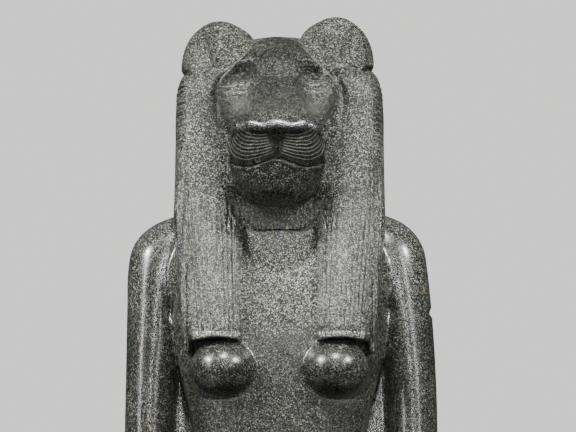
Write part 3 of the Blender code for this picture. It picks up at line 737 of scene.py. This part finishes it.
def digit(forms, middle, half, tip, root, top, side):
    """Adds a finger or a toe, lying along y."""
    rows = [
        (tip + behind * half, middle, wide * half, top + under * half, top + over * half, squareness)
        for behind, wide, under, over, squareness in DIGIT
    ]
    forms.loft((*rows, (root, *rows[-1][1:])), "y", side)


def flat_hand(forms, side):
    forms.loft(PALM, "y", side)
    count = len(FINGER_LENGTHS)
    for i, length in enumerate(FINGER_LENGTHS):
        middle = HAND_MIDDLE + (i - (count - 1) / 2) * 2 * FINGER_HALF_WIDTH
        digit(forms, middle, FINGER_HALF_WIDTH, FINGER_ROOT - length, FINGER_ROOT, FINGER_TOP, side)
    middle, tip, root, half = THUMB
    digit(forms, middle, half, tip, root, FINGER_TOP, side)


def fist_with_ankh(forms, side):
    forms.loft(FIST, "y", side)
    middle, tip, root, half = THUMB
    aside, above = THUMB_ON_FIST
    digit(forms, middle + aside * half, half, tip, root, FINGER_TOP + above * half, side)
    bars = (
        (ANKH_BAR, ANKH_STEM_END, FINGER_ROOT),
        (ANKH_ARM, ANKH_CROSSING - ANKH_BAR, ANKH_CROSSING + ANKH_BAR),
    )
    for half, front, back in bars:
        rows = [(place, HAND_MIDDLE, half, ANKH_FOOT, ANKH_TOP, ANKH_SQUARENESS) for place in (front, back)]
        forms.loft(rows, "y", side)


def foot(forms, side):
    forms.loft(FOOT, "y", side)
    inner = FOOT_INNER_EDGE
    for half, behind in TOES:
        digit(forms, inner + half, half, TOE_TIP + behind, TOE_ROOT, TOE_HEIGHT * half, side)
        inner += TOE_SPACING * half


def body_forms():
    forms = Forms()
    for stations in (TORSO, THROAT, SKIRT_BETWEEN_LEGS):
        forms.loft(stations, "z")
    forms.loft(SKIRT_ON_LAP, "y")
    for side in (-1, 1):
        arm = [raised(rows, SHOULDER_RISE * (side == 1)) for rows in (UPPER_ARM, ARM_WEB)]
        if side == 1:
            heights, leans = zip(*ARM_LEAN)
            arm = [[(z, x + np.interp(z, heights, leans), *rest) for z, x, *rest in rows] for rows in arm]
        for stations in (*arm, SHIN):
            forms.loft(stations, "z", side)
        for stations in (FOREARM, THIGH):
            forms.loft(stations, "y", side)
        for mass in (BREAST, BREAST_ROOT, KNEE):
            forms.mass(mass, side)
        foot(forms, side)
    flat_hand(forms, -1)
    fist_with_ankh(forms, 1)
    return forms


def hair_forms():
    forms = Forms()
    for stations in (WIG, WIG_TAIL, RUFF):
        forms.loft(stations, "z")
    for side in (-1, 1):
        forms.loft(LAPPET, "z", side)
        forms.loft(SIDE_LOCKS, "z", side)
        forms.loft(moved_ear(EAR, side), "z", side)
    return forms


def face_ring(row, z):
    """One cross-section of the face, from its middle line round by the left side, the back and the right."""
    middle_y, edge_x, edge_y, valley_x, valley_y, ridge_x, ridge_y = row
    nasion, blend = NASION
    flat = BRIDGE_FLAT + (FOREHEAD_FLAT - BRIDGE_FLAT) * fade((z - nasion) / blend)
    across, deep = VALLEY_CURVE
    behind = max(ridge_x - FACE_SIDE, LEAST_SIZE)
    half = [
        (0.0, middle_y),
        (edge_x * flat, (middle_y + edge_y) / 2),
        (edge_x, edge_y),
        (edge_x + (valley_x - edge_x) * across, edge_y + (valley_y - edge_y) * deep),
        (valley_x, valley_y),
        *((ridge_x + x, ridge_y + y) for x, y in RIDGE_ROUND),
        *((behind * share, y) for share, y in FACE_BACK),
    ]
    path = np.array(half + [(-x, y) for x, y in half[:0:-1]] + half[:1])
    count = RING_POINTS
    places = np.linspace(0, len(path) - 1, count, endpoint=False)
    x = np.interp(places, range(len(path)), path[:, 0])
    y = np.interp(places, range(len(path)), path[:, 1])
    return np.stack([x + FACE_MIDDLE, y, np.full(count, z)], axis=1)


def face_forms():
    forms = Forms()
    levels = np.linspace(FACE[0][0], FACE[-1][0], FACE_RINGS)
    forms.rings([face_ring(row, z) for z, row in zip(levels, through(FACE, levels))], False)
    return forms


def object_from(body, name):
    mesh = bpy.data.meshes.new(name)
    body.to_mesh(mesh)
    body.free()
    return linked(name, mesh)


def settle(item):
    """Applies the object's modifiers to its mesh."""
    bpy.context.view_layer.update()
    graph = bpy.context.evaluated_depsgraph_get()
    mesh = bpy.data.meshes.new_from_object(item.evaluated_get(graph))
    item.modifiers.clear()
    item.data = mesh


def one_surface(forms, name, step, passes):
    """Makes one skin of the overlapping forms and softens where they meet."""
    item = forms.item(name)
    remesh = item.modifiers.new("one_surface", "REMESH")
    remesh.mode = "VOXEL"
    remesh.voxel_size = step
    smooth_points(item, passes)
    return item


def smooth_points(item, passes):
    soften = item.modifiers.new("soften", "SMOOTH")
    soften.factor = SOFTENING
    soften.iterations = passes
    settle(item)


def keep_triangles(item, count):
    triangles = sum(len(face.vertices) - 2 for face in item.data.polygons)
    if triangles > count:
        thin = item.modifiers.new("fewer_faces", "DECIMATE")
        thin.ratio = count / triangles
        settle(item)


def read_points(mesh):
    points = np.empty(len(mesh.vertices) * 3)
    mesh.vertices.foreach_get("co", points)
    return to_squares(points.reshape(-1, 3))


def write_points(mesh, points):
    mesh.vertices.foreach_set("co", from_squares(points).ravel())
    mesh.update()


def read_normals(mesh):
    normals = np.empty(len(mesh.vertices) * 3)
    mesh.vertex_normals.foreach_get("vector", normals)
    return normals.reshape(-1, 3)


def fade(t):
    """From 0 to 1 as t does, leaving and arriving gently."""
    t = np.clip(t, 0, 1)
    return t * t * (3 - 2 * t)


def between(values, low, high, edge):
    """1 from low to high, fading to 0 over the edge outside them."""
    return fade((values - low) / edge + 1) * fade((high - values) / edge + 1)


def within(zone, **measures):
    """How far each point lies inside all bands of a zone, from 0 to 1."""
    return math.prod(between(measures[name], *band) for name, band in zone.items())


def hollow(points, place, side):
    """Presses in a soft oval hollow from the front."""
    x, z, reach_x, reach_z, tilt, depth, far = place
    across, up = side * points[:, 0] - x, points[:, 2] - z
    up = up + tilt * across
    inside = fade(1 - np.hypot(across / reach_x, up / reach_z)) * (points[:, 1] < far)
    points[:, 1] += inside * depth


def ellipsoid_y(points, place, side, front):
    """The y of an ellipsoid's front or back skin, and whether it lies over a point that may move."""
    x, y, z, half_x, half_y, half_z, far = place
    over = 1 - ((points[:, 0] - side * x) / half_x) ** 2 - ((points[:, 2] - z) / half_z) ** 2
    skin = y + (-half_y if front else half_y) * np.sqrt(np.clip(over, 0, 1))
    return skin, (over > 0) & (points[:, 1] < far)


def scoop(points, place, side):
    """Cuts an ellipsoid out from the front."""
    skin, over = ellipsoid_y(points, place, side, front=False)
    cut = over & (points[:, 1] < skin)
    points[cut, 1] = skin[cut]


def bulge(points, place, side):
    """Brings the front out to an ellipsoid."""
    skin, over = ellipsoid_y(points, place, side, front=True)
    out = over & (points[:, 1] > skin)
    points[out, 1] = skin[out]


def curve_through(path):
    """A smooth line through the points of a path, as x and z."""
    path = np.array(path, float)
    along = np.concatenate([[0], np.cumsum(np.linalg.norm(np.diff(path, axis=0), axis=1))])
    return through(np.column_stack([along, path]), np.linspace(0, along[-1], LINE_STEPS))


def off_line(points, line):
    """Distance from each point to a line seen from the front, and its place along the line, from 0 to 1."""
    flat = points[:, [0, 2]]
    nearest = np.full(len(flat), np.inf)
    place = np.zeros(len(flat))
    steps = np.diff(line, axis=0)
    for i, (start, step) in enumerate(zip(line[:-1], steps)):
        t = np.clip((flat - start) @ step / (step @ step), 0, 1)
        gap = np.linalg.norm(flat - start - t[:, None] * step, axis=1)
        closer = gap < nearest
        nearest[closer] = gap[closer]
        place[closer] = (i + t[closer]) / len(steps)
    return nearest, place


def line_cut(points, normals, path, tool):
    """How far each point goes in for a line cut from the front."""
    width, depth, ends, facing = tool
    line = curve_through(path)
    low, high = line.min(axis=0) - width, line.max(axis=0) + width
    flat = points[:, [0, 2]]
    near = (flat > low).all(axis=1) & (flat < high).all(axis=1) & (normals[:, 1] < -facing)
    gap, place = off_line(points[near], line)
    cut = np.zeros(len(points))
    cut[near] = fade(1 - gap / width) * depth * fade(np.minimum(place, 1 - place) / ends)
    return cut


def mirrored(path, side, middle=0.0):
    return [(middle + side * x, z) for x, z in path]


def groove_cut(across, row):
    """How far each point goes in for a row of grooves."""
    spacing, width, depth = row
    gap = np.abs((across / spacing) % 1 - 0.5) * spacing
    return fade(1 - gap / width) * depth


def carve_lines(mesh, lines):
    """Cuts lines into the mesh, each a path and its tool."""
    points, normals = read_points(mesh), read_normals(mesh)
    cut = sum(line_cut(points, normals, path, tool) for path, tool in lines)
    write_points(mesh, points - normals * cut[:, None])


def carve_face(item):
    points = read_points(item.data)
    points[:, 0] -= FACE_MIDDLE
    for side in (-1, 1):
        hollow(points, BROW_HOLLOW, side)
        hollow(points, FLANK_OF_NOSE, side)
        bulge(points, EYEBALL, side)
        scoop(points, NOSTRIL, side)
    drop = np.interp(np.abs(points[:, 0]), *np.array(NOSE_LEDGE).T)
    points[:, 2] += drop * between(points[:, 2], *NOSE_LEDGE_BAND) * (points[:, 1] < NOSE_FRONT)
    points[:, 0] += FACE_MIDDLE
    write_points(item.data, points)
    smooth_points(item, FACE_PASSES[1])
    lines = [*eyelids(), (mirrored(PHILTRUM, 1, FACE_MIDDLE), GROOVE_OVER_MOUTH)]
    for side in (-1, 1):
        lines += [(mirrored(path, side, FACE_MIDDLE), tool) for path, tool in FACE_LINES]
        lines += [(path, WHISKER) for path in whiskers(side)]
    carve_lines(item.data, lines)


def eyelids():
    """The raised line of each lid and the crease outside it, each with its tool."""
    for side, x, z in EYES:
        for lid, above, strength in LIDS:
            path = [(side * (x - a), z + b) for a, b in lid]
            crease = [(a, b + above * LID_CREASE_GAP) for a, b in path]
            for line, (width, depth, *rest) in ((path, LID), (crease, LID_CREASE)):
                yield line, (width, strength * depth, *rest)


def whiskers(side):
    low, high = np.array(WHISKER_LOWEST), np.array(WHISKER_HIGHEST)
    for i in range(WHISKERS):
        yield mirrored(low + (high - low) * i / (WHISKERS - 1), side, FACE_MIDDLE)


def ring_length(x, y):
    """How far round the outline of the wig each point lies."""
    half_x, half_y, middle_y, squareness = WIG_RING
    turn = np.linspace(0, math.pi / 2, WIG_RING_STEPS)
    a, b = np.cos(turn) ** (2 / squareness) * half_x, np.sin(turn) ** (2 / squareness) * half_y
    length = np.concatenate([[0], np.cumsum(np.hypot(np.diff(a), np.diff(b)))])
    up, out = np.abs((y - middle_y) / half_y), np.abs(x / half_x)
    angle = np.arctan2(up ** (squareness / 2), out ** (squareness / 2))
    return np.interp(angle, turn, length) * np.sign(y - middle_y)


def lappet_coordinate(points):
    """Across a lappet from its middle, following its edges and turning round them on to its sides."""
    middle, half = through([row[:3] for row in LAPPET], np.clip(points[:, 2], LAPPET[0][0], LAPPET[-1][0])).T
    u = (np.abs(points[:, 0]) - middle) / half
    return LAPPET_ACROSS * np.clip(u, -1, 1) + np.sign(u) * np.clip(points[:, 1] + LAPPET_TURN, 0, None)


def past_ear_ridge(points, side):
    """How far outside the ridge of that side's ear each point lies."""
    ridge = np.array(moved_ear(EAR_RIDGE, side)[::-1])
    return side * points[:, 0] - np.interp(points[:, 2], ridge[:, 1], ridge[:, 0])


def scoop_ear(points, side):
    """Hollows the ear inwards from its ridge, steeply beside the ridge and running out towards the head."""
    inwards = -past_ear_ridge(points, side)
    end, run_out = EAR_SCOOP_REACH
    depth = fade(inwards / EAR_SCOOP_STEEP) * fade((end - inwards) / run_out)
    level = points[:, 2] - EAR_RISE * (side == 1)
    depth *= between(level, *EAR_SCOOP_BAND) * (points[:, 1] < EAR_SCOOP_FRONT)
    points[:, 1] += depth * EAR_SCOOP


def carve_hair(item):
    points = read_points(item.data)
    for side in (-1, 1):
        scoop_ear(points, side)
    x, y, z = points.T
    middle, half, arch = LAPPET_HEM
    u = np.clip((np.abs(x) - middle) / half, -1, 1)
    points[:, 2] += within(HEM, z=z, y=y, out=np.abs(x)) * arch * (1 - u * u)
    write_points(item.data, points)
    smooth_points(item, HAIR_PASSES[1])
    mesh = item.data
    points, normals = read_points(mesh), read_normals(mesh)
    x, y, z = points.T
    out, facing = np.abs(x), normals[:, 1]
    measures = {"z": z, "y": y, "out": out, "tilt": np.abs(normals[:, 2]), "facing": facing}
    on = {name: within(zone, **measures) for name, zone in HAIR_ZONES.items()}
    hem_z, hem_width, hem_depth = HEM_LINE
    cut = groove_cut(out - SIDE_STRANDS_START, SIDE_STRANDS) * on["sides"]
    cut += groove_cut(lappet_coordinate(points), STRANDS) * on["lappets"] * on["above_hem"]
    cut += groove_cut(ring_length(x, y), STRANDS) * on["behind"]
    cut += fade(1 - np.abs(z - hem_z) / hem_width) * hem_depth * on["hem_line"]
    cut += groove_cut(z + LOCKS_SLANT * (out - LOCKS_MIDDLE), LOCKS) * on["locks"]
    cut += groove_cut(x * (1 + CHIN_STRANDS_SPREAD * (CHIN_STRANDS_TOP - z)), CHIN_STRANDS) * on["chin"]
    for side in (-1, 1):
        for path, tool in EAR_LINES:
            cut += line_cut(points, normals, mirrored(moved_ear(path, side), side), tool)
        ((ear_x, ear_z),) = moved_ear(EAR_MIDDLE, side)
        turn = np.arctan2(z - ear_z, side * x - ear_x)
        flange = within(EAR_FLANGE, past=past_ear_ridge(points, side), facing=facing, z=z)
        cut += groove_cut(turn, EAR_RAYS) * flange
    write_points(mesh, points - normals * cut[:, None])


def carve_body(item):
    points = read_points(item.data)
    for side in (-1, 1):
        hollow(points, ARMPIT, side)
    off_nick = np.linalg.norm((points - NICK[:3]) / NICK[3:], axis=1)
    points[:, 0] -= NICK_DEPTH * fade(NICK_STEEPNESS * (1 - off_nick))
    write_points(item.data, points)
    carve_lines(item.data, [(path, DRESS_LINE) for path in DRESS_LINES])


def block_surface():
    """The base, throne and back pillar as one body, with the panels on the sides of the throne."""
    body = bmesh.new()
    half_width, half_depth = THRONE_WIDTH / 2 + BASE_SIDE_MARGIN, base_depth() / 2
    box(body, (-half_width, -half_depth, 0), (half_width, half_depth, BASE_HEIGHT))
    base = object_from(body, "base")
    front, back, sunk, seat = throne_front(), throne_back(), BASE_HEIGHT / 2, height(SEAT)
    profile = (
        (front, sunk),
        (back, sunk),
        (back, seat + BACKREST_RISE),
        (back - BACKREST_DEPTH, seat + BACKREST_RISE),
        (back - BACKREST_DEPTH, seat),
        (front, seat),
    )
    body = bmesh.new()
    faces = prism(body, profile, -THRONE_WIDTH / 2, THRONE_WIDTH / 2)
    wear(body, {edge for face in faces for edge in face.edges})
    throne = object_from(body, "throne")
    body = bmesh.new()
    half = PILLAR_WIDTH / 2
    box(body, (-half, figure_y(), sunk), (half, pillar_back(), height(PILLAR_TOP)))
    pillar = object_from(body, "pillar")
    join(base, throne, "UNION")
    join(base, pillar, "UNION")
    join(base, throne_panels(), "DIFFERENCE")
    return base


def throne_panels():
    """Cutters for the recessed panel on each side of the throne and for the framed square in its corner."""
    front, back = throne_front() + PANEL_BORDER, throne_back() - PANEL_BORDER
    low, high = BASE_HEIGHT + PANEL_BORDER, height(SEAT) - PANEL_BORDER
    corner_y, corner_z = back - PANEL_SQUARE, low + PANEL_SQUARE
    around = (
        (front, low),
        (corner_y - PANEL_BORDER, low),
        (corner_y - PANEL_BORDER, corner_z + PANEL_BORDER),
        (back, corner_z + PANEL_BORDER),
        (back, high),
        (front, high),
    )
    square = ((corner_y, low), (back, low), (back, corner_z), (corner_y, corner_z))
    floor_x = THRONE_WIDTH / 2 - PANEL_DEPTH
    body = bmesh.new()
    for side in (-1, 1):
        for profile in (around, square):
            prism(body, profile, side * floor_x, side * (floor_x + 2 * PANEL_DEPTH))
    return object_from(body, "panels")


def join(item, other, operation):
    """Unites or cuts one object with another, which is then gone."""
    change = item.modifiers.new(other.name, "BOOLEAN")
    change.object = other
    change.operation = operation
    change.solver = "EXACT"
    settle(item)
    bpy.data.objects.remove(other)


def statue():
    face = one_surface(face_forms(), "statue_carved", FACE_STEP, FACE_PASSES[0])
    carve_face(face)
    keep_triangles(face, FACE_TRIANGLES)
    hair = one_surface(hair_forms(), "hair", HAIR_STEP, HAIR_PASSES[0])
    carve_hair(hair)
    keep_triangles(hair, HAIR_TRIANGLES)
    body = one_surface(body_forms(), "body", BODY_STEP, BODY_PASSES)
    carve_body(body)
    keep_triangles(body, BODY_TRIANGLES)
    for other in (hair, body, block_surface()):
        join(face, other, "UNION")
    return face


def mark_finish_and_shade(mesh):
    """Notes at each point how pale and how matt the stone is, with painted shade among the paleness, and
    where tool lines cut through the polish.
    """
    points, normals = read_points(mesh), read_normals(mesh)
    x, y, z = points.T
    middle = np.abs(x - FACE_MIDDLE)
    ridge = np.interp(z, [row[0] for row in FACE], [row[6] for row in FACE])
    measures = {"z": z, "y": y, "out": np.abs(x), "middle": middle, "ridge": middle - ridge}
    on = {name: within(zone, **measures) for name, zone in FINISH_AND_SHADE_ZONES.items()}
    pale = PALE["body"] + PALE["chest"] * on["chest"] + PALE["shoulders"] * on["shoulders"]
    hair = np.clip(on["wig"] + on["lappets"], 0, 1)
    # The mane's paleness, with painted shade beside the face and on the top of the wig.
    mane = PALE_HAIR["mane"] + sum(PALE_HAIR[name] * on[name] for name in ("shaded_wig_top", "ears", "shade_and_dull_beside_face"))
    # Painted shade under the chin, then the chin's painted shadow on the chest.
    pale = np.maximum(pale, mane * hair) + PALE["shade_under_chin"] * on["shade_under_chin"]
    top, reach_x, reach_z = SHADOW
    pale += PALE["shadow"] * on["shadow"] * fade(2 - 2 * np.hypot(x / reach_x, (z - top) / reach_z))
    matt = pale + MATT["low_lappets"] * on["low_lappets"] * hair
    for name in ("mane", "shade_and_dull_beside_face"):
        matt = np.maximum(matt, MATT[name] * hair * on[name])
    matt += (MATT["arms"] - matt) * on["arms"]
    face = np.maximum(on["mask"], on["forehead"])
    # On the face, painted shade darkens the muzzle and the chin.
    pale += (sum(tone * on[name] for name, tone in PALE_FACE.items()) - pale) * face
    bare = MATT_FACE["bare"] + sum(MATT_FACE[name] * on[name] for name in ("bridge", "over_bridge"))
    matt += (bare - matt) * face
    # Painted shade on the lower half of each breast, deeper further down.
    lower_breast_shade, breast_bottom_shade = BREAST_SHADE
    pale += FLANK[0] * on["flank"] * face + on["breasts"] * (lower_breast_shade + breast_bottom_shade * on["shaded_breast_bottoms"])
    matt += FLANK[1] * on["flank"] * face + MATT["breasts"] * on["breasts"]
    for zone in BLOCK_ZONES.values():
        block = within(zone, **measures) > 0.5
        pale[block], matt[block] = PALE["block"], MATT["block"]
    marks = np.zeros(len(points))
    for side in (-1, 1):
        lines = [(path, LINE_MARK) for path in (*whiskers(side), mirrored(MOUTH, side, FACE_MIDDLE))]
        for path, tool in (*lines, (mirrored(MASK_EDGE, side, FACE_MIDDLE), EDGE_MARK)):
            marks = np.maximum(marks, line_cut(points, normals, path, tool))
    marks *= on["marked"]
    for name, values, least in (("pale", pale, LEAST_PALE), ("matt", matt, 0), ("marks", marks, 0)):
        layer = mesh.attributes.new(name, "FLOAT", "POINT")
        layer.data.foreach_set("value", np.clip(values, least, 1).astype(np.float32))


def feed(tree, socket, value):
    """Links another node's output to a socket, or sets the socket to a value."""
    if isinstance(value, bpy.types.NodeSocket):
        tree.links.new(value, socket)
    else:
        socket.default_value = value


def add_node(tree, kind, **inputs):
    """Adds a shader node and feeds its inputs, each named as Blender names it."""
    node = tree.nodes.new(kind)
    for name, value in inputs.items():
        feed(tree, node.inputs[name], value)
    return node


def noise(tree, place, kind):
    per_metre, detail = kind
    return add_node(tree, "ShaderNodeTexNoise", Vector=place, Scale=per_metre, Detail=detail).outputs["Fac"]


def attribute(tree, name):
    node = tree.nodes.new("ShaderNodeAttribute")
    node.attribute_name = name
    return node.outputs["Fac"]


def relief(tree, shader, strength, depth, level):
    bump = add_node(tree, "ShaderNodeBump", Strength=strength, Distance=depth, Height=level)
    feed(tree, shader.inputs["Normal"], bump.outputs["Normal"])


def ramp(tree, value, stops):
    node = tree.nodes.new("ShaderNodeValToRGB")
    tree.links.new(value, node.inputs["Fac"])
    elements = node.color_ramp.elements
    while len(elements) < len(stops):
        elements.new(0.5)
    for element, (position, colour) in zip(elements, stops):
        element.position = position
        element.color = (*colour, 1.0)
    return node.outputs["Color"]


def maths(tree, operation, *values):
    node = tree.nodes.new("ShaderNodeMath")
    node.operation = operation
    for socket, value in zip(node.inputs, values):
        feed(tree, socket, value)
    return node.outputs[0]


def mix_colours(tree, factor, first, second):
    node = tree.nodes.new("ShaderNodeMix")
    node.data_type = "RGBA"
    sockets = {socket.identifier: socket for socket in (*node.inputs, *node.outputs)}
    for name, value in (("Factor_Float", factor), ("A_Color", first), ("B_Color", second)):
        feed(tree, sockets[name], value)
    return sockets["Result_Color"]


def granodiorite():
    """Dark stone, dense with pale crystals and a few tan ones; where it is matt it is paler and rougher, and
    darker where shade is painted in.
    """
    stone = bpy.data.materials.new("granodiorite")
    stone.use_nodes = True
    tree = stone.node_tree
    shader = tree.nodes["Principled BSDF"]
    place = tree.nodes.new("ShaderNodeTexCoord").outputs["Object"]
    matt, pale, marks = (attribute(tree, name) for name in ("matt", "pale", "marks"))
    crystals = add_node(tree, "ShaderNodeTexVoronoi", Vector=place, Scale=CRYSTALS)
    random = add_node(tree, "ShaderNodeSeparateColor", Color=crystals.outputs["Color"])
    tint, gloss = random.outputs["Red"], random.outputs["Green"]
    grain = noise(tree, place, GRAIN)
    value = TONE["floor"]
    sources = {"crystals": tint, "grain": grain, "clouds": noise(tree, place, CLOUDS), "pale": pale}
    for name, source in sources.items():
        value = maths(tree, "MULTIPLY_ADD", source, TONE[name], value)
    colour = ramp(tree, value, STONE_TONES)
    lean = (0.0, INCLUSION_LEAN, 0.0)
    for stretch, per_metre, size, share, strength in INCLUSIONS:
        drawn = add_node(tree, "ShaderNodeMapping", Vector=place, Rotation=lean, Scale=(1.0, 1.0, stretch))
        spots = add_node(tree, "ShaderNodeTexVoronoi", Vector=drawn.outputs["Vector"], Scale=per_metre)
        picked = add_node(tree, "ShaderNodeSeparateColor", Color=spots.outputs["Color"]).outputs["Green"]
        ragged, allowance = INCLUSION_RAGGED
        edge = maths(tree, "MULTIPLY_ADD", grain, ragged, spots.outputs["Distance"])
        spot = maths(tree, "LESS_THAN", edge, size + allowance)
        spot = maths(tree, "MULTIPLY", spot, maths(tree, "LESS_THAN", picked, share))
        colour = mix_colours(tree, maths(tree, "MULTIPLY", spot, strength), colour, TAN)
    marks = maths(tree, "MULTIPLY", marks, maths(tree, "MULTIPLY_ADD", tint, CUT_BROKEN, 1 - CUT_BROKEN))
    feed(tree, shader.inputs["Base Color"], mix_colours(tree, marks, colour, CUT_STONE))
    rough = maths(tree, "MULTIPLY_ADD", matt, ROUGHNESS["matt"], ROUGHNESS["polished"])
    rough = maths(tree, "MULTIPLY_ADD", gloss, ROUGHNESS["crystals"], rough)
    feed(tree, shader.inputs["Roughness"], rough)
    sheen = maths(tree, "MULTIPLY_ADD", pale, SHEEN["pale"], SHEEN["bare"])
    sheen = maths(tree, "MAXIMUM", maths(tree, "MINIMUM", sheen, SHEEN["most"]), SHEEN["least"])
    sheen = maths(tree, "MULTIPLY", sheen, maths(tree, "MULTIPLY_ADD", matt, SHEEN["matt"], SHEEN["whole"]))
    feed(tree, shader.inputs["Specular IOR Level"], sheen)
    strength = maths(tree, "MULTIPLY_ADD", matt, BUMP["matt"], BUMP["polished"])
    relief(tree, shader, strength, BUMP["depth"], noise(tree, place, PITS))
    return stone


def paper():
    """The pale floor, mottled and with fine fibres."""
    material = bpy.data.materials.new("pale_floor")
    material.use_nodes = True
    tree = material.node_tree
    shader = tree.nodes["Principled BSDF"]
    place = tree.nodes.new("ShaderNodeTexCoord").outputs["Object"]
    patches, fibres = noise(tree, place, FLOOR_PATCHES), noise(tree, place, FLOOR_FIBRES)
    shade = maths(tree, "MULTIPLY_ADD", fibres, FLOOR_SHARE, maths(tree, "MULTIPLY", patches, FLOOR_SHARE))
    feed(tree, shader.inputs["Base Color"], ramp(tree, shade, FLOOR_TONES))
    feed(tree, shader.inputs["Roughness"], maths(tree, "MULTIPLY_ADD", fibres, *FLOOR_ROUGHNESS))
    relief(tree, shader, *FLOOR_BUMP, fibres)
    return material


def studio():
    """The world: an even backdrop to the camera, and soft light from overhead."""
    world = bpy.data.worlds.new("studio")
    world.use_nodes = True
    tree = world.node_tree
    ground = tree.nodes["Background"]
    feed(tree, ground.inputs["Color"], BACKDROP)
    ray = tree.nodes.new("ShaderNodeLightPath").outputs["Is Camera Ray"]
    towards = tree.nodes.new("ShaderNodeTexCoord").outputs["Generated"]
    up = add_node(tree, "ShaderNodeSeparateXYZ", Vector=towards).outputs["Z"]
    light = maths(tree, "POWER", maths(tree, "MAXIMUM", up, 0.0), BACKDROP_STRENGTH["power"])
    light = maths(tree, "MULTIPLY_ADD", light, BACKDROP_STRENGTH["overhead"], BACKDROP_STRENGTH["level"])
    seen = maths(tree, "MULTIPLY", ray, BACKDROP_STRENGTH["seen"])
    feed(tree, ground.inputs["Strength"], maths(tree, "MAXIMUM", light, seen))
    return world


def aimed(item, place, towards):
    item.location = place
    item.rotation_euler = (Vector(towards) - Vector(place)).to_track_quat("-Z", "Y").to_euler()
    return item


carved = statue()
mark_finish_and_shade(carved.data)
carved.data.shade_smooth()
carved.data.set_sharp_from_angle(angle=math.radians(SHARPEST_SMOOTH))
carved.data.materials.clear()
carved.data.materials.append(granodiorite())
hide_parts("statue")
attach(carved, "root")

floor_mesh = bpy.data.meshes.new("floor")
corners = [(x * FLOOR_HALF, y * FLOOR_HALF, 0) for x, y in ((-1, -1), (1, -1), (1, 1), (-1, 1))]
floor_mesh.from_pydata(corners, [], [range(len(corners))])
floor_mesh.materials.append(paper())
floor = linked("floor", floor_mesh)
bpy.context.scene.world = studio()

for name, place, towards, size, power in LIGHTS:
    light = bpy.data.lights.new(name, "AREA")
    light.shape = "RECTANGLE"
    light.size, light.size_y = size
    light.energy = power
    light.spread = math.radians(LIGHT_SPREAD)
    aimed(linked(name, light), place, towards)

camera = bpy.data.cameras.new("camera")
camera.lens = LENS
camera.sensor_width = SENSOR
bpy.context.scene.camera = aimed(linked("camera", camera), CAMERA_PLACE, CAMERA_TARGET)
